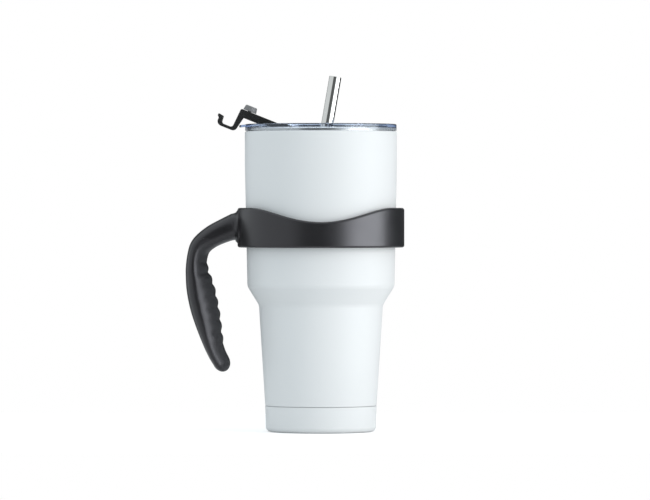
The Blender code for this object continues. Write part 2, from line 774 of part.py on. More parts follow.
def build():
    clear_scene()
    white = material("white_powder_coat", (0.86, 0.88, 0.89), 0.42)
    steel = material("brushed_steel", (0.62, 0.62, 0.61), 0.3, metallic=1.0)
    polished = material("polished_steel", (0.78, 0.78, 0.77), 0.08, metallic=1.0)
    clear = material("clear_plastic", (0.80, 0.86, 0.95), 0.06, alpha=0.35)
    black = material("black_plastic", (0.035, 0.035, 0.038), 0.38)
    soft = material("black_soft_grip", (0.045, 0.045, 0.048), 0.5)
    grey = material("grey_silicone", (0.22, 0.22, 0.22), 0.5)
    frosted = material("clear_silicone", (0.85, 0.87, 0.88), 0.45, alpha=0.6)
    rubber = material("black_rubber", (0.03, 0.03, 0.03), 0.75)
    getter = material("getter_alloy", (0.30, 0.29, 0.28), 0.7, metallic=1.0)
    glass = material("seal_glass", (0.35, 0.36, 0.34), 0.2)

    make_outer_shell(white)
    make_inner_liner(steel)
    make_outer_bottom(steel)
    make_vacuum_seal(glass)
    make_getter(getter, steel)
    make_base_cup(white)
    make_base_plate(steel)

    lid_axis = empty("lid_axis")
    make_lid(clear, lid_axis)
    make_gasket(frosted, lid_axis)
    pin_x, pin_z = PIN_PLACE
    cylinder("flap_pin", PIN_RADIUS, PIN_LENGTH, polished, lid_axis, (pin_x, 0, pin_z), "Y", 16)
    flap_pivot = empty("flap_pivot", (pin_x, 0, pin_z), lid_axis)
    flap_pivot.rotation_euler.y = -math.radians(OPEN_ANGLE)
    make_lever(black, flap_pivot)
    make_stopper(grey, flap_pivot)
    make_straw(polished, lid_axis)

    handle_axis = empty("handle_axis")
    make_handle(black, soft, handle_axis)
    make_pads(rubber, handle_axis)


build()
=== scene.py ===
# %% [markdown]
# # An insulated tumbler with a clear lid, a flip closure, a steel straw and a slide-on handle
#
# This lesson dresses a finished CAD model for a product picture. The CAD model has every piece in its place,
# but its round walls are made of flat facets. Each piece that shows gets a fine surface of its own here, made
# from the same few sizes, and a finish made only from shader nodes.
#
# The CAD model is the fixed frame: one unit is a metre, +Z is up, and the tumbler stands on z = 0.

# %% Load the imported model
import math
import bmesh
import bpy
import numpy as np
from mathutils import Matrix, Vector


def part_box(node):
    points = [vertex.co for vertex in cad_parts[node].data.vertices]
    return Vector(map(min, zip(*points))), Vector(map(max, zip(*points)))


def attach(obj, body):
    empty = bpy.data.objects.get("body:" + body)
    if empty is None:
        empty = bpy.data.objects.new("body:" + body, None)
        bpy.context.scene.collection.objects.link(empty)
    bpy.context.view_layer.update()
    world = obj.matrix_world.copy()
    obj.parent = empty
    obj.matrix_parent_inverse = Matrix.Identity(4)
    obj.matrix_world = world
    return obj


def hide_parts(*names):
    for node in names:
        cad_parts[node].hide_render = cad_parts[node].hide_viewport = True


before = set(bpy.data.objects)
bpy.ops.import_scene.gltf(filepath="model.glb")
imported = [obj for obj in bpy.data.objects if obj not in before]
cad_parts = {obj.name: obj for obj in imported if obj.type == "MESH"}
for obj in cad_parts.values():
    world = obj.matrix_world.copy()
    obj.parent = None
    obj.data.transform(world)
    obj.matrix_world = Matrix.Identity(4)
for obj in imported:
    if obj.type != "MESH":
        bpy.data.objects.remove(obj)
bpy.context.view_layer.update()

# %% [markdown]
# ## Sizes
#
# The large sizes are read from the CAD nodes, so the fine surfaces land on the coarse ones. A few others,
# such as the thickness of the sheet steel, are the designer's choices and are named once, in this cell. A
# millimetre is a handy unit for a cup, so `MM` turns millimetres into metres.

# %% Driving sizes, from the frame
MM = 0.001
# The clearance between neighbouring pieces, in millimetres.
gap_mm = 0.3
shell_low, shell_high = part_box("outer_shell")
liner_low, liner_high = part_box("inner_liner")
cap_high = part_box("base_cup")[1]
lid_low, lid_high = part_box("lid_body")
collar_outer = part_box("handle_frame")[1].x / MM
body_radius = shell_high.x
shell_top = shell_high.z
lip_top = liner_high.z
lip_outer = liner_high.x
seam_radius = cap_high.x
seam_height = cap_high.z + gap_mm * MM / 2
flange_top = lid_high.z
deck_bottom = lid_low.z
sheet = 0.6 * MM
liner_sheet = 0.5 * MM
print(f"body {2 * body_radius / MM:.1f} mm across, its seam {seam_height / MM:.1f} mm up")

# %% [markdown]
# ## Outlines
#
# Most pieces start as a drawing: a few corners, each with the radius that rounds it. A rounded corner is an
# arc that touches both of its sides. Its centre lies on the line that halves the corner, at radius / sin(half
# the angle), and the arc is swept from one touching point to the other. One more point is kept on the
# straight run just past each arc. Without it, smooth shading would spread the arc's slant over the whole flat
# side.

# %% Rounded outlines
ARC_STEPS = 7
MARGIN = 0.1 * MM


def arc(before, here, after, radius, steps):
    """The arc that rounds the corner `here`, from the side towards `before` to the side towards `after`."""
    one = (before - here) / np.linalg.norm(before - here)
    two = (after - here) / np.linalg.norm(after - here)
    half = math.acos(np.clip(one @ two, -1, 1)) / 2
    centre = here + (one + two) / np.linalg.norm(one + two) * radius / math.sin(half)
    start = here + one * radius / math.tan(half) - centre
    end = here + two * radius / math.tan(half) - centre
    sweep = math.atan2(start[0] * end[1] - start[1] * end[0], start @ end)
    turn = np.linspace(0, sweep, steps + 1)[:, None]
    return centre + start * np.cos(turn) + np.array([-start[1], start[0]]) * np.sin(turn)


def outline(corners, closed=False, steps=ARC_STEPS):
    """Corners (x, y, radius) in millimetres, rounded and put in metres. Radius 0 keeps a sharp corner."""
    corners = np.array(corners, float)
    places = corners[:, :2] * MM
    count = len(corners)
    runs = []
    for i, radius in enumerate(corners[:, 2] * MM):
        if radius == 0 or (not closed and i in (0, count - 1)):
            runs.append(places[i : i + 1])
        else:
            runs.append(arc(places[i - 1], places[i], places[(i + 1) % count], radius, steps))
    pieces = [runs[0]]
    for run, following in zip(runs, runs[1:] + runs[: int(closed)]):
        straight = following[0] - run[-1]
        length = np.linalg.norm(straight)
        if length > 4 * MARGIN:
            margin = straight / length * MARGIN
            pieces.append(np.stack([run[-1] + margin, following[0] - margin]))
        pieces.append(following)
    return np.vstack(pieces[:-1] if closed else pieces)


print("a 1 mm rounded square has", len(outline([(0, 0, 1), (9, 0, 1), (9, 9, 1), (0, 9, 1)], True)), "points")

# %% [markdown]
# ## Surfaces from grids
#
# A surface is a function of two numbers, worked out on a grid: rows run one way and columns the other. Each
# cell of the grid becomes a face. Here the columns always close into a ring. The rows close too on a wall
# that has an outside and an inside, such as the tumbler's shell, or end in a cap or a pole. The grid's own
# two numbers are kept as the UV map: the first goes once round, and the second is the distance along the
# surface, in metres.

# %% From a grid to a mesh
def grid_faces(rows, columns, wrap):
    """Corner numbers of each cell, as an array: (i, j), (i, j+1), (i+1, j+1), (i+1, j)."""
    i = np.arange(rows if wrap else rows - 1)[:, None]
    j = np.arange(columns)[None, :]
    after_i = (i + 1) % rows
    after_j = (j + 1) % columns
    corners = [i * columns + j, i * columns + after_j, after_i * columns + after_j, after_i * columns + j]
    return np.stack(np.broadcast_arrays(*corners), -1).reshape(-1, 4)


def grid_uv(points, wrap):
    """For each cell's corners: the share of the way round, and the distance along the middle of the rows."""
    rows, columns = points.shape[:2]
    step = np.linalg.norm(np.diff(points, axis=0, append=points[:1]), axis=2).mean(1)
    along = np.concatenate([[0], np.cumsum(step)])
    i = np.arange(rows if wrap else rows - 1)[:, None, None]
    j = np.arange(columns)[None, :, None]
    u = (j + np.array([0, 1, 1, 0])) / columns
    v = along[i + np.array([0, 0, 1, 1])]
    return np.stack(np.broadcast_arrays(u, v), -1).reshape(-1, 2)


def grid_object(name, points, wrap=False, caps=False):
    """A closed object from a (rows, columns, 3) grid. Equal points are merged, and faces point outwards."""
    rows, columns = points.shape[:2]
    faces = grid_faces(rows, columns, wrap).tolist()
    uv = grid_uv(points, wrap)
    if caps:
        faces += [list(range(columns)), list(range((rows - 1) * columns, rows * columns))]
        uv = np.vstack([uv, np.zeros((2 * columns, 2))])
    mesh = bpy.data.meshes.new(name)
    mesh.from_pydata(points.reshape(-1, 3), [], faces)
    mesh.uv_layers.new(name="UVMap").data.foreach_set("uv", uv.astype(np.float32).ravel())
    tidy = bmesh.new()
    tidy.from_mesh(mesh)
    bmesh.ops.remove_doubles(tidy, verts=tidy.verts, dist=1e-6)
    bmesh.ops.recalc_face_normals(tidy, faces=tidy.faces)
    tidy.to_mesh(mesh)
    tidy.free()
    made = bpy.data.objects.new(name, mesh)
    bpy.context.scene.collection.objects.link(made)
    return made


def turned(profile, sides=160):
    """A profile (r, h) carried round Z: x = r cos a, y = r sin a, z = h, for `sides` equal angles a."""
    angle = np.arange(sides) * 2 * np.pi / sides
    radius = profile[:, :1]
    height = np.broadcast_to(profile[:, 1:], (len(profile), sides))
    return np.stack([radius * np.cos(angle), radius * np.sin(angle), height], -1)


def slab(path, half_width, rounding, steps=5):
    """A closed (x, z) outline carried along Y. Near each side it shrinks inwards along a quarter circle.

    The shrink is rounding * (1 - cos t) at y = half_width - rounding + rounding * sin t, for t from 0 to 90
    degrees. A last ring a little further in keeps the flat side flat when it is shaded smooth. An outward
    corner has at least the whole shrink as its radius, or the inner rings would fold over.
    """
    forward = np.roll(path, -1, 0) - path
    forward /= np.linalg.norm(forward, axis=1)[:, None]
    forward += np.roll(forward, 1, 0)
    normal = np.stack([forward[:, 1], -forward[:, 0]], -1)
    normal /= np.linalg.norm(normal, axis=1)[:, None]
    area = np.sum(path[:, 0] * np.roll(path[:, 1], -1) - np.roll(path[:, 0], -1) * path[:, 1])
    normal *= np.sign(area)
    t = np.linspace(0, np.pi / 2, steps)
    depth = np.append(rounding * (1 - np.cos(t)), rounding + MARGIN)
    depth = np.concatenate([depth[::-1], depth])
    place = np.append(half_width - rounding + rounding * np.sin(t), half_width)
    place = np.concatenate([-place[::-1], place])
    flat = path[None] - normal[None] * depth[:, None, None]
    across = np.broadcast_to(place[:, None], flat.shape[:2])
    return np.stack([flat[..., 0], across, flat[..., 1]], -1)


def rigid(points, turn, place):
    """Points turned by a 3 by 3 matrix and then moved to a place."""
    return points @ np.array(turn, float).T + np.array(place, float)


print("helpers ready: grid_object, turned, slab, rigid")

# %% [markdown]
# ## Finishes
#
# Some effects turn up in several finishes, so each is a node group with named inputs, made once and used with
# other values in each material. `Grain` gives a fine bumpy height, as on powder coat and moulded plastic.
# `Lines` gives the thin scratches that a lathe or a polishing belt leaves. `Handling` varies the roughness in
# soft patches, as fingers do. `Mottle` lets a colour drift a little.
#
# The groups only put out heights, values and colours. The Principled shader stays in the material, with its
# constant settings on its own sockets, because that is what exporters can read.

# %% Node helpers
def new_group(name, inputs, output):
    """A shader node group with float or vector inputs {name: (kind, default)} and one output (name, kind)."""
    tree = bpy.data.node_groups.new(name, "ShaderNodeTree")
    for label, (kind, default) in inputs.items():
        socket = tree.interface.new_socket(label, in_out="INPUT", socket_type=f"NodeSocket{kind}")
        if default is not None:
            socket.default_value = default
    tree.interface.new_socket(output[0], in_out="OUTPUT", socket_type=f"NodeSocket{output[1]}")
    return tree, tree.nodes.new("NodeGroupInput"), tree.nodes.new("NodeGroupOutput")


def math_node(tree, operation, first, second=None):
    """One Math node. Each input is a socket to link or a number to set. Returns its output."""
    node = tree.nodes.new("ShaderNodeMath")
    node.operation = operation
    for socket, value in zip(node.inputs, (first, second)):
        if isinstance(value, bpy.types.NodeSocket):
            tree.links.new(value, socket)
        elif value is not None:
            socket.default_value = value
    return node.outputs[0]


def scaled_place(tree, place, size):
    """The place divided by a size, so that a texture of scale 1 has features of that size in metres."""
    node = tree.nodes.new("ShaderNodeVectorMath")
    node.operation = "SCALE"
    tree.links.new(place, node.inputs[0])
    tree.links.new(math_node(tree, "DIVIDE", 1.0, size), node.inputs["Scale"])
    return node.outputs[0]


def noise(tree, place, detail=2.0, roughness=0.5):
    """A noise texture of scale 1 at a place. Returns its value, from 0 to 1."""
    node = tree.nodes.new("ShaderNodeTexNoise")
    node.inputs["Scale"].default_value = 1.0
    node.inputs["Detail"].default_value = detail
    node.inputs["Roughness"].default_value = roughness
    tree.links.new(place, node.inputs["Vector"])
    return node.outputs["Fac"]


print("node helpers ready")

# %% The four shared groups
def make_grain():
    """Height: fine noise plus a little of a coarser one, both in steps of `Size` metres."""
    coarser, fine_share, coarse_share = 6.0, 0.7, 0.3
    inputs = {"Place": ("Vector", None), "Size": ("Float", 0.0004)}
    tree, given, result = new_group("Grain", inputs, ("Height", "Float"))
    place, size = given.outputs["Place"], given.outputs["Size"]
    fine = noise(tree, scaled_place(tree, place, size), detail=2.0, roughness=0.6)
    wide = math_node(tree, "MULTIPLY", size, coarser)
    coarse = noise(tree, scaled_place(tree, place, wide), detail=1.0)
    fine = math_node(tree, "MULTIPLY", fine, fine_share)
    coarse = math_node(tree, "MULTIPLY", coarse, coarse_share)
    tree.links.new(math_node(tree, "ADD", fine, coarse), result.inputs["Height"])
    return tree


def make_lines():
    """Height: noise that is stretched along the first UV direction, so that it makes lines round the piece.

    `Around` is how many times the noise changes on the way round, and `Pitch` is the spacing in metres.
    """
    inputs = {"UV": ("Vector", None), "Around": ("Float", 6.0), "Pitch": ("Float", 0.0002)}
    tree, given, result = new_group("Lines", inputs, ("Height", "Float"))
    split = tree.nodes.new("ShaderNodeSeparateXYZ")
    tree.links.new(given.outputs["UV"], split.inputs[0])
    joined = tree.nodes.new("ShaderNodeCombineXYZ")
    around = math_node(tree, "MULTIPLY", split.outputs["X"], given.outputs["Around"])
    along = math_node(tree, "DIVIDE", split.outputs["Y"], given.outputs["Pitch"])
    tree.links.new(around, joined.inputs["X"])
    tree.links.new(along, joined.inputs["Y"])
    height = noise(tree, joined.outputs[0], detail=3.0, roughness=0.65)
    tree.links.new(height, result.inputs["Height"])
    return tree


def make_handling():
    """Roughness: from `Low` to `High` in soft patches of `Size` metres."""
    inputs = {"Place": ("Vector", None), "Size": ("Float", 0.02)}
    inputs |= {"Low": ("Float", 0.3), "High": ("Float", 0.4)}
    tree, given, result = new_group("Handling", inputs, ("Roughness", "Float"))
    place = scaled_place(tree, given.outputs["Place"], given.outputs["Size"])
    patches = noise(tree, place, detail=4.0, roughness=0.6)
    # Noise seldom leaves 0.3 to 0.7, so that span is stretched over the whole range.
    spread = tree.nodes.new("ShaderNodeMapRange")
    spread.inputs["From Min"].default_value = 0.3
    spread.inputs["From Max"].default_value = 0.7
    tree.links.new(patches, spread.inputs["Value"])
    tree.links.new(given.outputs["Low"], spread.inputs["To Min"])
    tree.links.new(given.outputs["High"], spread.inputs["To Max"])
    tree.links.new(spread.outputs["Result"], result.inputs["Roughness"])
    return tree


def make_mottle():
    """Colour: a drift between two near colours, in patches of `Size` metres."""
    grey = ("Color", (0.5, 0.5, 0.5, 1))
    inputs = {"Place": ("Vector", None), "Size": ("Float", 0.03), "One": grey, "Other": grey}
    tree, given, result = new_group("Mottle", inputs, ("Colour", "Color"))
    place = scaled_place(tree, given.outputs["Place"], given.outputs["Size"])
    patches = noise(tree, place, detail=3.0)
    # On a Mix node set to colour, inputs 6 and 7 are the two colours, and output 2 is the mixed one.
    mix = tree.nodes.new("ShaderNodeMix")
    mix.data_type = "RGBA"
    tree.links.new(patches, mix.inputs["Factor"])
    tree.links.new(given.outputs["One"], mix.inputs[6])
    tree.links.new(given.outputs["Other"], mix.inputs[7])
    tree.links.new(mix.outputs[2], result.inputs["Colour"])
    return tree


groups = {tree.name: tree for tree in (make_grain(), make_lines(), make_handling(), make_mottle())}
print("groups:", ", ".join(groups))

# %% [markdown]
# ## One recipe for every finish
#
# All the finishes are variations on one recipe: a colour that drifts, a roughness that varies with handling,
# and a bump from grain or lines. A function builds that recipe from a few numbers. Constant settings such as
# transmission go straight on to the shader.

# %% The recipe
def use_group(material, name, settings, coordinates):
    """Places a group in a material, sets its inputs and feeds it the piece's own coordinates."""
    tree = material.node_tree
    node = tree.nodes.new("ShaderNodeGroup")
    node.node_tree = groups[name]
    place = tree.nodes.new("ShaderNodeTexCoord")
    tree.links.new(place.outputs[coordinates], node.inputs[0])
    for label, value in settings.items():
        node.inputs[label].default_value = value
    return node.outputs[0]


def finish(name, colours, patch, rough, smudge, bump, bump_depth, absorbs=None, **constants):
    """A material from two near colours, a range of roughness and one bump: (group, settings, coordinates).

    A clear material may also absorb: (the colour that passes best, density for each metre of depth).
    """
    material = bpy.data.materials.new(name)
    material.use_nodes = True
    tree = material.node_tree
    shader = tree.nodes["Principled BSDF"]
    for socket, value in constants.items():
        shader.inputs[socket.replace("_", " ")].default_value = value
    one, other = [(*colour, 1.0) for colour in colours]
    colour = use_group(material, "Mottle", {"Size": patch, "One": one, "Other": other}, "Object")
    tree.links.new(colour, shader.inputs["Base Color"])
    settings = {"Size": smudge, "Low": rough[0], "High": rough[1]}
    tree.links.new(use_group(material, "Handling", settings, "Object"), shader.inputs["Roughness"])
    relief = tree.nodes.new("ShaderNodeBump")
    relief.inputs["Strength"].default_value = 1.0
    relief.inputs["Distance"].default_value = bump_depth
    tree.links.new(use_group(material, *bump), relief.inputs["Height"])
    tree.links.new(relief.outputs["Normal"], shader.inputs["Normal"])
    if absorbs:
        depth = tree.nodes.new("ShaderNodeVolumeAbsorption")
        depth.inputs["Color"].default_value = (*absorbs[0], 1.0)
        depth.inputs["Density"].default_value = absorbs[1]
        tree.links.new(depth.outputs["Volume"], tree.nodes["Material Output"].inputs["Volume"])
    return material


def grain(size):
    """The bump of an even grain, in steps of size metres, on the piece's own place."""
    return ("Grain", {"Size": size}, "Object")


def lines(around, pitch):
    """The bump of lines along the piece's UV: changes on the way round, and the spacing in metres."""
    return ("Lines", {"Around": around, "Pitch": pitch}, "UV")


print("recipe ready")

# %% [markdown]
# ## The finishes of this tumbler
#
# - Powder coat is sprayed on dry and melted, so it is satin and very slightly dimpled, like an orange's skin.
# - The cup inside is bare stainless steel with fine turned lines. The straw is polished along its length.
# - The lid is clear plastic with a faint blue tint. Its transmission and its metallic value are plain
#   constants.
# - The handle is charcoal plastic with a fine moulded grain, and its grip is a softer, duller elastomer.
# - The stopper and the gasket are silicone.

# %% Make the finishes
powder_coat = finish(
    "satin_powder_coat",
    colours=[(0.83, 0.85, 0.86), (0.845, 0.86, 0.868)], patch=0.05, rough=(0.40, 0.46), smudge=0.03,
    bump=grain(0.0007), bump_depth=0.00002, Specular_IOR_Level=0.2,
)
bare_steel = finish(
    "bare_steel",
    colours=[(0.72, 0.72, 0.71), (0.77, 0.77, 0.765)], patch=0.02, rough=(0.24, 0.32), smudge=0.02,
    bump=lines(5.0, 0.00025), bump_depth=0.00001, Metallic=1.0,
)
polished_steel = finish(
    "mirror_steel",
    colours=[(0.76, 0.74, 0.71), (0.79, 0.77, 0.745)], patch=0.02, rough=(0.07, 0.12), smudge=0.01,
    bump=lines(60.0, 0.006), bump_depth=0.000002, Metallic=1.0,
)
clear_plastic = finish(
    "clear_lid_plastic",
    colours=[(0.98, 0.99, 1.0), (0.985, 0.995, 1.0)], patch=0.04, rough=(0.02, 0.045), smudge=0.015,
    bump=grain(0.004), bump_depth=0.000004, absorbs=((0.25, 0.5, 0.95), 60.0),
    Transmission_Weight=1.0, IOR=1.49,
)
frosted_silicone = finish(
    "frosted_silicone",
    colours=[(0.84, 0.86, 0.87), (0.88, 0.89, 0.90)], patch=0.01, rough=(0.4, 0.5), smudge=0.01,
    bump=grain(0.0006), bump_depth=0.00001, Transmission_Weight=0.5, IOR=1.42,
)
# The highlights on the two dark mouldings of the handle are strong and faintly violet.
violet_shine = {"Specular_IOR_Level": 0.7, "Specular_Tint": (1.0, 0.95, 1.0, 1.0)}
charcoal_plastic = finish(
    "charcoal_plastic",
    colours=[(0.009, 0.009, 0.010), (0.012, 0.012, 0.013)], patch=0.01, rough=(0.32, 0.37), smudge=0.012,
    bump=grain(0.00035), bump_depth=0.00003, **violet_shine,
)
soft_elastomer = finish(
    "soft_elastomer",
    colours=[(0.010, 0.010, 0.011), (0.013, 0.013, 0.014)], patch=0.006, rough=(0.41, 0.47), smudge=0.01,
    bump=grain(0.00025), bump_depth=0.00003, **violet_shine,
)
flap_plastic = finish(
    "flap_plastic",
    colours=[(0.015, 0.015, 0.015), (0.019, 0.019, 0.019)], patch=0.008, rough=(0.36, 0.42), smudge=0.01,
    bump=grain(0.0003), bump_depth=0.00002,
)
grey_silicone = finish(
    "stopper_silicone",
    colours=[(0.20, 0.20, 0.205), (0.23, 0.23, 0.235)], patch=0.004, rough=(0.42, 0.5), smudge=0.005,
    bump=grain(0.0003), bump_depth=0.00001,
)
pad_rubber = finish(
    "pad_rubber",
    colours=[(0.022, 0.022, 0.022), (0.03, 0.03, 0.03)], patch=0.004, rough=(0.7, 0.8), smudge=0.005,
    bump=grain(0.0004), bump_depth=0.00004,
)
getter_alloy = finish(
    "getter_pellet",
    colours=[(0.24, 0.23, 0.22), (0.34, 0.33, 0.32)], patch=0.001, rough=(0.65, 0.8), smudge=0.002,
    bump=grain(0.0002), bump_depth=0.00004, Metallic=1.0,
)
seal_glass = finish(
    "port_glass",
    colours=[(0.33, 0.34, 0.32), (0.38, 0.39, 0.37)], patch=0.001, rough=(0.15, 0.25), smudge=0.002,
    bump=grain(0.0005), bump_depth=0.00001,
)
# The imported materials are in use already. The new ones aren't yet.
print("finishes:", ", ".join(m.name for m in bpy.data.materials if m.users == 0))

# %% [markdown]
# ## Finishing a piece
#
# Every new piece ends in the same way. It is shaded smooth except at real edges, gets its finish, rides on
# the CAD body that it belongs to, and stands for its CAD node.

# %% Dress a piece
def dress(piece, material, body, node, edge_angle=35):
    """Shades, paints and fastens a finished piece."""
    piece.data.shade_smooth()
    piece.data.set_sharp_from_angle(angle=math.radians(edge_angle))
    piece.data.materials.clear()
    piece.data.materials.append(material)
    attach(piece, body)
    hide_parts(node)
    piece.data.calc_loop_triangles()
    print(f"{piece.name}: {len(piece.data.loop_triangles)} triangles, {material.name}")
    return piece


def combine(target, tool, operation):
    """Joins, cuts or intersects target with a tool by a Boolean, keeps the result and removes the tool."""
    modifier = target.modifiers.new("combine", "BOOLEAN")
    modifier.operation = operation
    modifier.solver = "EXACT"
    modifier.object = tool
    evaluated = target.evaluated_get(bpy.context.evaluated_depsgraph_get())
    result = bpy.data.meshes.new_from_object(evaluated)
    target.modifiers.clear()
    target.data = result
    bpy.data.objects.remove(tool)
    return target


print("dress and combine ready")

# %% [markdown]
# ## The steel body
#
# The outer wall is one sheet of steel: straight and slightly tapered above, a soft shoulder, then a narrower
# taper that fits a cup holder. A revolved profile is the natural way, because the real piece is spun or
# formed round its own axis. The profile runs down the outside, under the skirt that the base cap covers, and
# back up the inside.

# %% Outer shell
SEAM_EASE = 0.25
body_mm = body_radius / MM
seam_mm = seam_radius / MM
shoulder = (48.85, 96.5)
waist = (41.2, 84.2)
taper_start = 178.0
skirt_radius = seam_mm - 1.4
skirt_bottom = shell_low.z / MM


def wall_corners(inset):
    """The three corners of the body's wall, from the top down, moved inwards by inset millimetres."""
    places = [(body_mm, taper_start, 60), (*shoulder, 7), (*waist, 7)]
    return [(radius - inset, height, rounding) for radius, height, rounding in places]


def make_shell_profile():
    """Two outlines, a sheet's thickness apart: down the outside, and back up the inside."""
    top = shell_top / MM
    edge = 47.6
    seam = seam_height / MM + gap_mm / 2
    t = sheet / MM
    outside = outline(
        [(edge, top, 0), (body_mm, top, 1.2), *wall_corners(0), (seam_mm, seam, SEAM_EASE)]
        + [(skirt_radius, seam, 0.2), (skirt_radius, skirt_bottom, 0)]
    )
    inside = outline(
        [(edge, top - t, 0), (body_mm - t, top - t, 0.6), *wall_corners(t), (seam_mm - t, seam + 1, 0.2)]
        + [(skirt_radius - t, seam + 0.6, 0.2), (skirt_radius - t, skirt_bottom, 0)]
    )
    return np.vstack([outside, inside[::-1]])


shell = grid_object("shell", turned(make_shell_profile(), 192), wrap=True)
dress(shell, powder_coat, "tumbler", "outer_shell")

# %% [markdown]
# The cup inside is drawn from a second sheet, about three millimetres smaller all round. That gap holds the
# vacuum. Its lip curls over the outer wall and stays bare, so that the drink never touches paint.

# %% Inner liner with its curled lip
INSET = 3.7
floor_mm = liner_low.z / MM + 0.5
lip_mm = lip_top / MM


def make_liner_profile():
    """The side that holds the drink, from the floor's middle to the lip's edge, and back on the other."""
    t = liner_sheet / MM
    neck = 46.8
    slope = (waist[0] - seam_mm) / (waist[1] - seam_height / MM)
    low = seam_mm - INSET - slope * (seam_height / MM - floor_mm)
    rim = lip_outer / MM
    rim_bottom = shell_top / MM + 0.35
    drink = outline(
        [(0, floor_mm, 0), (low, floor_mm, 6), *wall_corners(INSET)[::-1]]
        + [(neck, lip_mm, 0.9), (rim, lip_mm, 0.9), (rim, rim_bottom, 0)]
    )
    vacuum = outline(
        [(0, floor_mm - t, 0), (low + t, floor_mm - t, 6 + t), *wall_corners(INSET - t)[::-1]]
        + [(neck + t, lip_mm - t, 0.4), (rim - t, lip_mm - t, 0.4), (rim - t, rim_bottom, 0)]
    )
    return np.vstack([drink, vacuum[::-1]])


liner = grid_object("liner", turned(make_liner_profile(), 192))
dress(liner, bare_steel, "tumbler", "inner_liner")

# %% [markdown]
# The lower end is closed by a painted cap. The thin dark line near the foot is the gap between the cap and
# the wall, so it is real here too: 0.3 mm wide, with both edges eased. A bare cover plate fills the middle of
# the base.

# %% Base cap and cover plate
def make_cap_profile():
    """A closed outline: down the outside, under the foot, and back inside it, a sheet's thickness away."""
    top = cap_high.z / MM
    t = sheet / MM
    foot = seam_mm - 0.4
    hole = 29.5
    corners = [
        (seam_mm, top, SEAM_EASE),
        (foot, 0, 3.4),
        (hole, 0, 0.15),
        (hole, t, 0.15),
        (foot - t, t, 2.8),
        (seam_mm - t, top, 0.15),
    ]
    return outline(corners, closed=True)


cap = grid_object("base_cap", turned(make_cap_profile(), 192), wrap=True)
dress(cap, powder_coat, "tumbler", "base_cup")

plate_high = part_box("base_plate")[1]
PLATE_EDGE = 29.2


def make_plate_profile():
    """A flat disc with a hidden upper rim. Turned rings, a tenth of a millimetre deep, mark its face."""
    t = sheet / MM
    top = plate_high.z / MM
    rim = plate_high.x / MM
    step = t + gap_mm
    rings = [(r, 0.1 if i % 2 else 0, 0.3) for i, r in enumerate((3, 3.6, 12, 12.6, 21, 21.6))]
    corners = [(0, 0, 0), *rings, (PLATE_EDGE, 0, 0.15), (PLATE_EDGE, step, 0), (rim, step, 0)]
    corners += [(rim, top, 0), (PLATE_EDGE - t, top, 0), (PLATE_EDGE - t, t, 0), (0, t, 0)]
    return outline(corners)


plate = grid_object("cover_plate", turned(make_plate_profile(), 192))
dress(plate, bare_steel, "tumbler", "base_plate")

# %% [markdown]
# Four pieces sit sealed inside the base: the plate that closes the vacuum, the bead over its port, and the
# getter with its strap. Their CAD shapes are right and nobody sees them, so they only get their finishes.

# %% Hidden pieces keep their CAD shape
def repaint(node, material):
    """Gives a CAD node one of the finishes in place of its packed material."""
    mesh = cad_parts[node].data
    mesh.materials.clear()
    mesh.materials.append(material)


repaint("outer_bottom", bare_steel)
repaint("vacuum_seal", seal_glass)
repaint("getter", getter_alloy)
repaint("getter_strap", bare_steel)
print("repainted the sealed pieces")

# %% [markdown]
# ## The clear lid
#
# The lid is one clear moulding: a flat deck sunk in the mouth, a drafted wall, and a flange that rests on the
# lip. It is mostly round, so it starts as a turned profile. What isn't round is added and cut with Booleans
# on the real solid, because clear plastic shows its inner faces: two overlapping solids would show a false
# wall between them.

# %% Lid sizes
skirt = 46.2
groove_low, groove_high = 192.0, 195.4
groove = 45.25
deck_top = 190.4
flange_mm = flange_top / MM
flange_radius = 50.3


def make_lid_profile():
    """From the deck's middle out over the flange, and back under it past the gasket's groove."""
    seat = lip_mm + gap_mm
    under = shell_top / MM + gap_mm
    deck_low = deck_bottom / MM
    rim = lip_outer / MM + gap_mm
    corners = [
        (0, deck_top, 0),
        (43.9, deck_top, 1.2),
        (45.0, flange_mm, 0.5),
        (flange_radius, flange_mm, 0.7),
        (flange_radius, under, 0.2),
        (rim, under, 0.12),
        (rim, seat, 0.15),
        (skirt, seat, 0.15),
        (skirt, groove_high, 0.1),
        (groove, groove_high, 0.1),
        (groove, groove_low, 0.1),
        (skirt, groove_low, 0.1),
        (skirt - 0.3, deck_low, 1.4),
        (0, deck_low, 0),
    ]
    return outline(corners, steps=5)


lid = grid_object("clear_lid", turned(make_lid_profile(), 192))
print("lid before cutting:", len(lid.data.polygons), "faces")

# %% Tools that cut and add
def rod(name, place, radius, length, axis="Z", ease=0.0, sides=48):
    """A cylinder of a radius and length centred on a place, all in millimetres. Ease rounds its two rims."""
    half = length / 2
    corners = [(0, -half, 0), (radius, -half, ease), (radius, half, ease), (0, half, 0)]
    points = turned(outline(corners, steps=4), sides)
    if axis == "Y":
        points = rigid(points, [(1, 0, 0), (0, 0, 1), (0, -1, 0)], (0, 0, 0))
    return grid_object(name, points + np.array(place) * MM)


def make_tab():
    """The thumb tab: a rounded tongue, 1.5 mm thick, whose height falls by 0.12 of its reach."""
    root, tip, half = 1.5 - flange_radius, -54.1, 8.0
    half_thickness, below_flange, fall = 0.75, 0.2, 0.12
    plan = outline([(root, -half, 0.5), (tip, -half, 2.4), (tip, half, 2.4), (root, half, 0.5)], closed=True)
    blade = slab(plan, half_thickness * MM, 0.3 * MM)
    x, y = blade[..., 0], blade[..., 2]
    droop = fall * (root * MM - x)
    height = (flange_mm - below_flange - half_thickness) * MM - droop + blade[..., 1]
    return grid_object("tab", np.stack([x, y, height], -1), caps=True)


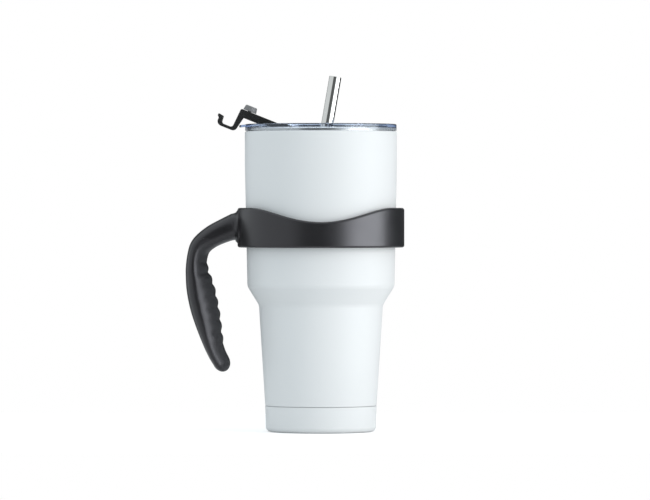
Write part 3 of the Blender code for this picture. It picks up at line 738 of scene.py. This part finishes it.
def make_lug(side):
    """A hinge lug: a plate with a round head about the pin. Its foot is 1 mm deep in the deck."""
    head, half_thickness, off_middle = 2.9, 1.3, 7.1
    foot = deck_top - 1.0 - pin_z
    corners = [(-head, foot, 0.4), (-head, head, 2.8), (head, head, 2.8), (head, foot, 0.4)]
    arch = outline(corners, closed=True)
    plate = slab(arch, half_thickness * MM, 0.25 * MM) + np.array([pin_x, side * off_middle, pin_z]) * MM
    return grid_object("lug", plate, caps=True)


pin_x, pin_z = -7.45, 193.5
combine(lid, make_tab(), "UNION")
for side in (-1, 1):
    combine(lid, make_lug(side), "UNION")
print("lid with its tab and lugs:", len(lid.data.polygons), "faces")

# %% [markdown]
# The lid has four holes: one to sip from, which the stopper closes, one for the straw, a small vent, and the
# bore for the hinge pin. The straw leans, so its hole sits where the straw's axis crosses the middle of the
# deck.

# %% Holes in the lid
straw_foot = np.array([-28.1, 1.15, 15.0])
straw_axis = np.array([0.1708, 0.059, 1.0])
straw_radius = 4.05
deck_middle = (deck_top + deck_bottom / MM) / 2
straw_hole = straw_foot + straw_axis * (deck_middle - straw_foot[2])
stopper_place = 44.05
pin_radius = 1.2
pin_bore_radius = pin_radius + gap_mm
drill = 8
combine(lid, rod("sip_hole", (pin_x + stopper_place, 0, deck_middle), 4.9, drill), "DIFFERENCE")
combine(lid, rod("straw_hole", straw_hole, straw_radius + 0.75, drill), "DIFFERENCE")
combine(lid, rod("vent", (-31.0, 16.0, deck_middle), 1.2, drill, sides=24), "DIFFERENCE")
combine(lid, rod("pin_hole", (pin_x, 0, pin_z), pin_bore_radius, 18.8, "Y", sides=32), "DIFFERENCE")
dress(lid, clear_plastic, "lid", "lid_body")

# %% [markdown]
# A silicone ring sits in the lid's groove. Its two fins bend against the steel mouth and seal it.

# %% Gasket and hinge pin
def make_gasket_profile():
    """A closed outline that fills the groove less a gap, with two pointed fins on its outer side."""
    inner = groove + gap_mm
    low, high = groove_low + gap_mm, groove_high - gap_mm
    fin = 46.5
    corners = [
        (inner, low, 0.1),
        (skirt, low, 0.1),
        (fin, low + 0.5, 0.12),
        (fin, low + 0.8, 0.12),
        (skirt, (low + high) / 2, 0.2),
        (fin, high - 0.8, 0.12),
        (fin, high - 0.5, 0.12),
        (skirt, high, 0.1),
        (inner, high, 0.1),
    ]
    return outline(corners, closed=True, steps=3)


gasket = grid_object("gasket", turned(make_gasket_profile(), 160), wrap=True)
dress(gasket, frosted_silicone, "lid", "lid_gasket")
pin = rod("hinge_pin", (pin_x, 0, pin_z), pin_radius, 17.0, "Y", 0.25)
dress(pin, polished_steel, "lid", "flap_pin")

# %% [markdown]
# ## The flip closure
#
# The closure is drawn in its own frame, where it is easy to think about: shut, with the pin at the origin,
# the arm along +X and the stopper pointing down. It is then turned back by 158.2 degrees about the pin, which
# is how it lies when it is thrown open. The frame's own hinge moves it from there.

# %% The lever
open_angle = math.radians(158.2)
cosine, sine = math.cos(open_angle), math.sin(open_angle)
OPENED = [(cosine, 0, -sine), (0, 1, 0), (sine, 0, cosine)]
lever_depth = 2.6
lever_half_width = 5.5


def opened(name, points, **kind):
    """A piece drawn shut about the pin, placed as it lies when the closure is open."""
    return grid_object(name, rigid(points, OPENED, (pin_x * MM, 0, pin_z * MM)), **kind)


def make_lever_outline():
    """Side view: heel about the pin, arm, leg up the lid's wall, hook over the flange, and pull lip."""
    heel = lever_depth - 0.05
    corners = [
        (-lever_depth, -lever_depth, heel),
        (50.0, -lever_depth, 1.2),
        (50.9, 11.1, 1.8),
        (58.5, 11.1, 1.8),
        (58.9, 6.2, 0.6),
        (62.9, 5.6, 0.7),
        (62.7, 7.4, 0.5),
        (61.6, 8.4, 0.6),
        (61.9, 13.0, 3.2),
        (48.5, 13.0, 3.0),
        (46.3, lever_depth, 0.4),
        (-lever_depth, lever_depth, heel),
    ]
    return outline(corners, closed=True)


stem_radius = 1.3
button_radius = 2.1
pocket_floor = lever_depth - 1.5
lever_points = slab(make_lever_outline(), lever_half_width * MM, 0.38 * MM)
lever = opened("flap", lever_points, caps=True)
pin_bore = rod("pin_bore", (pin_x, 0, pin_z), pin_bore_radius, 14, "Y", sides=32)
combine(lever, pin_bore, "DIFFERENCE")
bore, pocket, past = stem_radius + gap_mm, button_radius + gap_mm, 4
stem_room = [(0, -past, 0), (bore, -past, 0), (bore, pocket_floor, 0)]
stem_room += [(pocket, pocket_floor, 0), (pocket, past, 0), (0, past, 0)]
stem_points = turned(outline(stem_room), 48) + np.array([stopper_place * MM, 0, 0])
combine(lever, opened("stem_bore", stem_points), "DIFFERENCE")
dress(lever, flap_plastic, "flap", "flap_lever")

# %% [markdown]
# The stopper is soft silicone. Its stem passes through the arm, and a small button sunk in the other side
# holds it.

# %% The stopper
def make_stopper_profile():
    """From the tapered plug's end, up along the stem through the lever, and round the button."""
    face = lever_depth + gap_mm
    corners = [
        (0, -face - 3.6, 0),
        (3.9, -face - 3.6, 0.8),
        (4.6, -face, 0.25),
        (stem_radius, -face, 0.1),
        (stem_radius, pocket_floor + gap_mm, 0.1),
        (button_radius, pocket_floor + gap_mm, 0.15),
        (button_radius - 0.1, lever_depth - gap_mm, 0.3),
        (0, lever_depth - gap_mm, 0),
    ]
    return outline(corners)


stopper_points = turned(make_stopper_profile(), 96) + np.array([stopper_place * MM, 0, 0])
stopper = opened("stopper", stopper_points)
dress(stopper, grey_silicone, "flap", "flap_stopper")

# %% [markdown]
# ## The straw
#
# A straight steel tube, polished to a mirror, with rolled ends so that it is kind to the lips. It is turned
# upright and then laid along its lean. The matrix that does this has the straw's axis as its third column.

# %% Straw
straw_wall = 0.5
straw_length = 224.5


def make_straw_profile():
    """A closed strip as thick as the wall and as long as the straw, with rounded ends."""
    inner = straw_radius - straw_wall
    ends = [(inner, 0, 0.2), (straw_radius, 0, 0.24)]
    ends += [(radius, straw_length, ease) for radius, foot, ease in ends[::-1]]
    return outline(ends, closed=True)


up = straw_axis / np.linalg.norm(straw_axis)
side_way = np.cross((0, 1, 0), up)
side_way /= np.linalg.norm(side_way)
LEANING = np.stack([side_way, np.cross(up, side_way), up], 1)
straw_points = rigid(turned(make_straw_profile(), 128), LEANING, straw_foot * MM)
straw = grid_object("straw_tube", straw_points, wrap=True)
dress(straw, polished_steel, "straw", "straw")

# %% [markdown]
# ## The handle
#
# The handle is a separate moulding that slides up from the narrow end and wedges on the taper. Its collar is
# a band whose top edge dips at the front and the back and rises towards the handle. A grid suits it: one
# number goes round, and the other runs along the band's rounded section, whose top corners are lifted by the
# wave.

# %% The collar
collar_inner = 52.4
collar_bottom = 122.3
collar_dip, collar_rise = 139.3, 148.6
wave_spread = math.radians(60)


def make_collar(sides=288):
    """Round angle a and section point (r, z): z above the band's middle is lifted by the wave at a.

    The wave goes from dip to rise as (1 - cos(pi s)) / 2, where s is the angle from the front or back over 60
    degrees.
    """
    corners = [
        (collar_inner, collar_bottom, 0.6),
        (collar_outer, collar_bottom, 1.5),
        (collar_outer, collar_dip, 1.7),
        (collar_inner, collar_dip, 0.7),
    ]
    section = outline(corners, closed=True)
    angle = np.arange(sides) * 2 * np.pi / sides
    from_front = np.arcsin(np.abs(np.cos(angle)))
    wave = (1 - np.cos(np.pi * np.minimum(from_front / wave_spread, 1))) / 2
    lift = (collar_rise - collar_dip) * MM * wave
    upper = section[:, 1:] > (collar_bottom + collar_dip) / 2 * MM
    radius = section[:, :1]
    height = section[:, 1:] + upper * lift
    return np.stack([radius * np.cos(angle), radius * np.sin(angle), height], -1)


collar = grid_object("handle", make_collar(), wrap=True)
print("collar:", len(collar.data.polygons), "faces")

# %% [markdown]
# The grip hangs from the collar and ends free. It is drawn as stations along its middle: where the middle is,
# how deep the grip is there, and how wide. A Catmull-Rom curve passes through every station, so the stations
# can be nudged one by one. Each station carries a superellipse, which is between an ellipse and a rounded
# box. Its inner side swells into finger ridges, which are a function of the height alone.

# %% Curves through stations
def through(points, per_span):
    """A Catmull-Rom curve through rows of numbers: the usual cubic of b, c and their neighbours a, d."""
    points = np.array(points, float)
    ends = np.vstack([2 * points[0] - points[1], points, 2 * points[-1] - points[-2]])
    a, b, c, d = (ends[k : k + len(points) - 1, None] for k in range(4))
    t = (np.arange(per_span) / per_span)[None, :, None]
    cubic = 2 * b + (c - a) * t + (2 * a - 5 * b + 4 * c - d) * t**2 + (3 * b - a - 3 * c + d) * t**3
    return np.vstack([0.5 * cubic.reshape(-1, points.shape[1]), points[-1:]])


# Middle of the grip in X and Z, half its depth and half its width, in millimetres.
root_rows = [
    (-53.0, 136.2, 12.2, 14.8),
    (-54.9, 136.2, 12.2, 14.8),
    (-55.1, 136.2, 11.75, 14.4),
    (-55.35, 136.15, 11.2, 14.0),
    (-55.7, 136.1, 10.6, 13.5),
    (-56.1, 136.05, 10.1, 13.0),
    (-56.7, 135.95, 9.5, 12.5),
]
stations = [
    (-57.4, 135.9, 9.05, 12.1),
    (-59.5, 135.3, 8.5, 11.6),
    (-63.2, 133.9, 8.0, 11.2),
    (-70.4, 130.6, 7.5, 11.2),
    (-76.4, 126.6, 7.1, 11.6),
    (-80.2, 122.3, 7.0, 12.0),
    (-82.0, 116.6, 6.8, 12.4),
    (-82.7, 110.9, 6.9, 12.7),
    (-82.5, 105.1, 7.4, 13.0),
    (-80.7, 96.5, 8.8, 13.0),
    (-78.2, 84.5, 9.1, 13.0),
    (-75.4, 72.8, 8.3, 12.6),
    (-72.4, 60.8, 6.7, 11.6),
    (-69.2, 52.3, 6.0, 10.2),
    (-66.2, 46.6, 5.7, 8.8),
]
grip_end = np.array([-63.2, 40.2])
crease = through(
    [
        (-69.2, 118.6),
        (-71.6, 125.8),
        (-77.0, 128.6),
        (-82.0, 125.0),
        (-84.3, 118.0),
        (-84.4, 111.0),
        (-83.0, 101.9),
        (-81.1, 88.6),
        (-78.4, 75.9),
        (-75.4, 64.7),
        (-71.6, 51.4),
        (-68.2, 43.0),
        (-65.0, 36.0),
    ],
    8,
)
print("stations:", len(stations), "and crease points:", len(crease))

# %% The whole grip
ridge_top, ridge_pitch, ridge_count, ridge_depth = 112.6, 8.0, 7, 1.2
valley_ease = 0.08


def finger_ridges(height):
    """How far the ridges stand out: depth * |sin(pi * below / pitch)|, with softened valleys."""
    below = ridge_top - height
    wave = np.abs(np.sin(np.pi * below / ridge_pitch))
    soft = np.sqrt(wave**2 + valley_ease**2) - valley_ease
    return np.where((below > 0) & (below < ridge_count * ridge_pitch), ridge_depth * soft, 0)


def share_below(height, heights):
    """0 above the first of two heights, 1 below the second, and 3 s^2 - 2 s^3 between."""
    share = np.clip((heights[0] - height) / (heights[0] - heights[1]), 0, 1)
    return share**2 * (3 - 2 * share)


blunt, leaning = 2.5, 1.5
lean_heights, more_heights = (131.0, 117.0), (104.0, 90.0)
crest_shift, more_shift = 1.6, 1.0


def make_grip(columns=128):
    """Rows along the grip, columns round it: crest + across * depth * C + y * width * S.

    C and S are cos and sin of the column's angle, each to the power 2 / p with its sign kept: two
    superellipses that meet at the crest. The exponent p is `blunt`, but on the inner side it falls to
    `leaning` further down, where the grip narrows towards the fingers. The crest is shifted outwards there,
    and a little more beside the fingers. Towards the tip both half sizes shrink as sqrt(1 - share^2).
    """
    rows = through(stations, 10)
    share = np.sin(np.linspace(0, np.pi / 2, 12))[1:-1, None]
    last = rows[-1]
    tip = np.hstack([last[:2] + (grip_end - last[:2]) * share, last[2:] * np.sqrt(1 - share**2)])
    pole = np.array([[*grip_end, 0, 0]])
    rows = np.vstack([root_rows, rows, tip, pole])
    along = np.gradient(rows[:, :2], axis=0)
    along[: len(root_rows)] = (-1, 0)
    along /= np.linalg.norm(along, axis=1)[:, None]
    across = np.stack([-along[:, 1], along[:, 0]], -1)
    middle, half_depth, half_width = rows[:, :2], rows[:, 2:3], rows[:, 3:]
    lean = share_below(rows[:, 1:2], lean_heights)
    shift = crest_shift * lean + more_shift * share_below(rows[:, 1:2], more_heights)
    shift = np.minimum(shift, half_depth / 2)
    crest = middle - across * shift
    angle = np.arange(columns) * 2 * np.pi / columns
    inner_side = np.cos(angle) > 0
    power = 2 / np.where(inner_side, blunt + (leaning - blunt) * lean, blunt)
    c = np.copysign(np.abs(np.cos(angle)) ** power, np.cos(angle))
    s = np.copysign(np.abs(np.sin(angle)) ** power, np.sin(angle))
    ridges = finger_ridges(rows[:, 1:2]) * (half_depth > 0)
    depth = np.where(inner_side, half_depth + shift + ridges, half_depth - shift) * c
    x = crest[:, :1] + across[:, :1] * depth
    z = crest[:, 1:] + across[:, 1:] * depth
    y = half_width * s
    return np.stack([x, y, z], -1) * MM


def closed_grip(name):
    """The grid as a solid. Its first row is capped inside the collar, and its last row meets at the tip."""
    made = grid_object(name, make_grip(), caps=True)
    tidy = bmesh.new()
    tidy.from_mesh(made.data)
    bmesh.ops.dissolve_degenerate(tidy, edges=tidy.edges, dist=1e-7)
    tidy.to_mesh(made.data)
    tidy.free()
    return made


grip = closed_grip("grip")
print("whole grip:", len(grip.data.polygons), "faces")

# %% [markdown]
# The crease splits the grip in two: the hard spine, which is one moulding with the collar, and the soft grip
# on the inner side. A block whose edge follows the crease does the splitting, once as a cut and once as a
# keeper. The soft plastic is moulded on to the hard one, so only a hairline of 0.03 mm is left between them.

# %% Split the grip along the crease
def crease_block(name, inset):
    """All that is on the body's side of the crease, moved inwards by inset millimetres: a slab 40 mm wide."""
    along = np.gradient(crease, axis=0)
    inward = np.stack([-along[:, 1], along[:, 0]], -1)
    inward /= np.linalg.norm(inward, axis=1)[:, None]
    edge = crease + inward * inset
    far, half_width = -54.0, 20.0
    loop = np.vstack([edge, [(far, edge[-1, 1]), (far, edge[0, 1])]]) * MM
    y = np.array([-half_width, half_width])[:, None] * MM
    x, z = (np.broadcast_to(loop[None, :, k], (2, len(loop))) for k in (0, 1))
    return grid_object(name, np.stack([x, np.broadcast_to(y, x.shape), z], -1), caps=True)


hairline = 0.03
combine(grip, crease_block("grip_block", hairline), "INTERSECT")
dress(grip, soft_elastomer, "handle", "soft_grip", edge_angle=50)
spine = closed_grip("spine")
combine(spine, crease_block("pocket_block", 0), "DIFFERENCE")
combine(collar, spine, "UNION")
dress(collar, charcoal_plastic, "handle", "handle_frame", edge_angle=40)

# %% [markdown]
# Six rubber pads sit between the collar and the body. Their inner faces follow the body's taper, and four
# shallow grooves across each one let it give.

# %% Collar pads
pad_count = 6
pad_span = math.radians(16)


def make_pad(number):
    """A sector 16 degrees wide of a ring. Near its two ends the section shrinks towards its middle.

    The inner face lies a gap off the tapered wall. In the grooves it steps back by
    groove_depth * clip(-steepness * cos(phase), 0, 1), where the phase turns once for each groove.
    """
    low, high = 124.5, 137.5
    grooves, groove_depth, steepness = 4, 0.3, 3
    outer = collar_inner - gap_mm
    height = np.linspace(low, high, 41)
    wall = shoulder[0] + (body_mm - shoulder[0]) * (height - shoulder[1]) / (taper_start - shoulder[1])
    phase = (height - low) / (high - low) * grooves * 2 * np.pi
    step_back = groove_depth * np.clip(-steepness * np.cos(phase), 0, 1)
    inner = np.stack([wall + gap_mm + step_back, height], -1)
    section = np.vstack([inner, [(outer, high), (outer, low)]]) * MM
    middle = section.mean(0)
    turn = np.array([0, 0.006, 0.03, 0.25, 0.5, 0.75, 0.97, 0.994, 1])
    ease = np.array([0.9, 0.97, 1, 1, 1, 1, 1, 0.97, 0.9])
    angle = 2 * np.pi * (number - 0.5) / pad_count + (turn - 0.5) * pad_span
    points = middle + (section - middle) * ease[:, None, None]
    radius = points[..., 0]
    place = [radius * np.cos(angle)[:, None], radius * np.sin(angle)[:, None], points[..., 1]]
    return grid_object(f"pad_{number}", np.stack(place, -1), caps=True)


for number in range(1, pad_count + 1):
    dress(make_pad(number), pad_rubber, "handle", f"collar_pad_{number}")

# %% [markdown]
# ## The set
#
# The tumbler stands on a small white table. Plain product pictures like this one are lit by white walls all
# round, so the world does that work: it is nearly white in every direction, with a darker patch behind the
# camera, where the studio is open. That patch gives the straw and the collar their dark middles. A bright
# panel on the right gives the bands of light on the dark handle, and dark edges further back draw the outline
# of the metal.
#
# One brightness can't suit both a satin white wall and polished or clear pieces. A photographer shapes them
# one by one with flags and cards, and here the world has one level for matt light, one for reflections and
# one for what is seen through the clear lid. The table is bright enough to vanish, apart from the shadow
# round the foot.

# %% Table
def make_table():
    """One square face, just large enough for the shadow, because the straw would mirror a large table."""
    half = 0.3
    mesh = bpy.data.meshes.new("table")
    corners = [(-half, -half, 0), (half, -half, 0), (half, half, 0), (-half, half, 0)]
    mesh.from_pydata(corners, [], [(0, 1, 2, 3)])
    made = bpy.data.objects.new("table", mesh)
    bpy.context.scene.collection.objects.link(made)
    return made


def make_table_white():
    """Matt white. A glow that only the camera sees lifts it to plain white, so its edge doesn't show."""
    glow = 0.42
    material = bpy.data.materials.new("table_white")
    material.use_nodes = True
    tree = material.node_tree
    shader = tree.nodes["Principled BSDF"]
    shader.inputs["Base Color"].default_value = (0.8, 0.8, 0.8, 1)
    shader.inputs["Roughness"].default_value = 0.9
    shader.inputs["Specular IOR Level"].default_value = 0.1
    shader.inputs["Emission Color"].default_value = (1, 1, 1, 1)
    seen = tree.nodes.new("ShaderNodeLightPath").outputs["Is Camera Ray"]
    tree.links.new(math_node(tree, "MULTIPLY", seen, glow), shader.inputs["Emission Strength"])
    return material


table = make_table()
table.data.materials.append(make_table_white())
print("table is", table.dimensions.x, "m wide")

# %% [markdown]
# The camera stands a few metres away with a long lens, a little above the middle of the tumbler, and looks
# slightly down. A long lens keeps the upright sides upright.

# %% Camera
middle_x, aim_height = 0.0027, 0.1206
camera_distance, camera_height = 3.478, 0.148
camera_data = bpy.data.cameras.new("camera")
camera_data.lens = 290
camera_data.sensor_width = 36
camera = bpy.data.objects.new("camera", camera_data)
bpy.context.scene.collection.objects.link(camera)
camera.location = (middle_x, -camera_distance, camera_height)
down = np.array([middle_x, 0, aim_height]) - np.array(camera.location)
camera.rotation_euler = (math.atan2(np.hypot(*down[:2]), -down[2]), 0, 0)
bpy.context.scene.camera = camera
print("camera stands", round(float(np.linalg.norm(down)), 2), "m away")

# %% [markdown]
# The world's own Generated coordinate is the direction of a ray. Its azimuth comes from X and Y, and its
# height is Z. A window is a patch of directions with soft edges, and each window blends the brightness
# towards its own. The Light Path node tells which kind of ray asks. Cycles can also sample a world as a
# light, but then it doesn't know the kind of ray, and the bright panel would spill on to the white wall. So
# that is turned off.

# %% Windows in the surroundings
def smooth_step(tree, value, low, high):
    """0 below low, 1 above high and a smooth rise between them."""
    node = tree.nodes.new("ShaderNodeMapRange")
    node.interpolation_type = "SMOOTHSTEP"
    node.inputs["From Min"].default_value = low
    node.inputs["From Max"].default_value = high
    tree.links.new(value, node.inputs["Value"])
    return node.outputs["Result"]


def band(tree, value, low, high, soft):
    """1 between low and high, 0 outside, with soft edges."""
    rise = smooth_step(tree, value, low - soft, low + soft)
    fall = smooth_step(tree, value, high - soft, high + soft)
    return math_node(tree, "SUBTRACT", rise, fall)


def facing(tree, azimuth, height, window):
    """1 inside a window of azimuth (degrees) and height (the direction's Z), with soft edges."""
    left, right, low, high, soft = window
    height_softness = 0.12
    across = band(tree, azimuth, math.radians(left), math.radians(right), math.radians(soft))
    return math_node(tree, "MULTIPLY", across, band(tree, height, low, high, height_softness))


def blend_to(tree, base, target, share):
    """base + (target - base) * share, for a share from 0 to 1."""
    way = math_node(tree, "SUBTRACT", target, base)
    return math_node(tree, "ADD", base, math_node(tree, "MULTIPLY", way, share))


# Each window: left and right in degrees from the camera's side, low and high, and softness in degrees.
opening = (-31, 22, -0.6, 0.65, 6)
panel = (38, 97, -0.3, 0.42, 10)
rear_gap = (104, 155, -0.7, 0.6, 6)
right_edge = (98, 170, -0.7, 0.6, 4)
left_edge = (-175, -142, -0.7, 0.6, 4)

# Brightness of the room and its windows: for matt light, in reflections, and through clear plastic. The matt
# light rises in two steps of height, and the ceiling begins over another.
matt_low, matt_rise, matt_gap = 0.67, 0.14, 0.6
matt_steps = ((-0.3, 0.1), (0.2, 0.9))
ceiling_step = (0.5, 0.9)
gloss_room, gloss_ceiling, gloss_panel, gloss_edge = 0.82, 1.0, 5.6, 0.05
clear_room, clear_ceiling, clear_panel = 0.62, 1.6, 0.95
opening_level = 0.13
room_colour = (0.905, 0.97, 1.0, 1)

# %% The world
def make_world():
    """Brightness by direction and by kind of ray, and plain white behind the tumbler."""
    world = bpy.data.worlds.new("studio")
    world.use_nodes = True
    world.cycles.sampling_method = "NONE"
    tree = world.node_tree
    tree.nodes.clear()
    split = tree.nodes.new("ShaderNodeSeparateXYZ")
    tree.links.new(tree.nodes.new("ShaderNodeTexCoord").outputs["Generated"], split.inputs[0])
    x, y, z = split.outputs
    azimuth = math_node(tree, "ARCTAN2", x, math_node(tree, "MULTIPLY", y, -1.0))
    path = tree.nodes.new("ShaderNodeLightPath").outputs
    ceiling = smooth_step(tree, z, *ceiling_step)
    in_panel = facing(tree, azimuth, z, panel)
    on_right = facing(tree, azimuth, z, right_edge)
    at_edges = math_node(tree, "MAXIMUM", facing(tree, azimuth, z, left_edge), on_right)

    matt = matt_low
    for low, high in matt_steps:
        rise = math_node(tree, "MULTIPLY", smooth_step(tree, z, low, high), matt_rise)
        matt = math_node(tree, "ADD", matt, rise)
    matt = blend_to(tree, matt, matt_gap, facing(tree, azimuth, z, rear_gap))
    gloss = blend_to(tree, gloss_room, gloss_ceiling, ceiling)
    gloss = blend_to(tree, gloss, gloss_panel, in_panel)
    gloss = blend_to(tree, gloss, gloss_edge, at_edges)
    clear = blend_to(tree, clear_room, clear_ceiling, ceiling)
    clear = blend_to(tree, clear, clear_panel, in_panel)
    level = blend_to(tree, gloss, clear, path["Is Transmission Ray"])
    level = blend_to(tree, level, opening_level, facing(tree, azimuth, z, opening))
    level = blend_to(tree, level, matt, path["Is Diffuse Ray"])

    room = tree.nodes.new("ShaderNodeBackground")
    room.inputs["Color"].default_value = room_colour
    tree.links.new(level, room.inputs["Strength"])
    backdrop = tree.nodes.new("ShaderNodeBackground")
    backdrop.inputs["Color"].default_value = (1, 1, 1, 1)
    mix = tree.nodes.new("ShaderNodeMixShader")
    tree.links.new(path["Is Camera Ray"], mix.inputs["Fac"])
    tree.links.new(room.outputs[0], mix.inputs[1])
    tree.links.new(backdrop.outputs[0], mix.inputs[2])
    tree.links.new(mix.outputs[0], tree.nodes.new("ShaderNodeOutputWorld").inputs["Surface"])
    return world


bpy.context.scene.world = make_world()
print("world ready, sampled as", bpy.context.scene.world.cycles.sampling_method)

# %% [markdown]
# The softbox stands where the panel is. It is left out of reflections, which have the panel instead.

# %% Softbox on the right
def softbox(name, azimuth, elevation, distance, size, watts, colour):
    """A rectangular light, size metres wide and high, turned towards the tumbler's middle.

    Its place is distance * (cos e sin a, -cos e cos a, sin e) from there, at azimuth a and elevation e.
    """
    middle_height = 0.12
    light = bpy.data.lights.new(name, "AREA")
    light.shape = "RECTANGLE"
    light.size, light.size_y = size
    light.energy = watts
    light.color = colour
    made = bpy.data.objects.new(name, light)
    bpy.context.scene.collection.objects.link(made)
    a, e = math.radians(azimuth), math.radians(elevation)
    direction = np.array([math.cos(e) * math.sin(a), -math.cos(e) * math.cos(a), math.sin(e)])
    made.location = distance * direction + (0, 0, middle_height)
    made.rotation_euler = (math.radians(90) - e, 0, a)
    return made


warm_white = (1.0, 0.95, 0.92)
right_softbox = softbox("right_softbox", 62, 10, distance=1.2, size=(0.5, 1.0), watts=5.6, colour=warm_white)
right_softbox.visible_glossy = False
bpy.context.scene.view_settings.view_transform = "Standard"
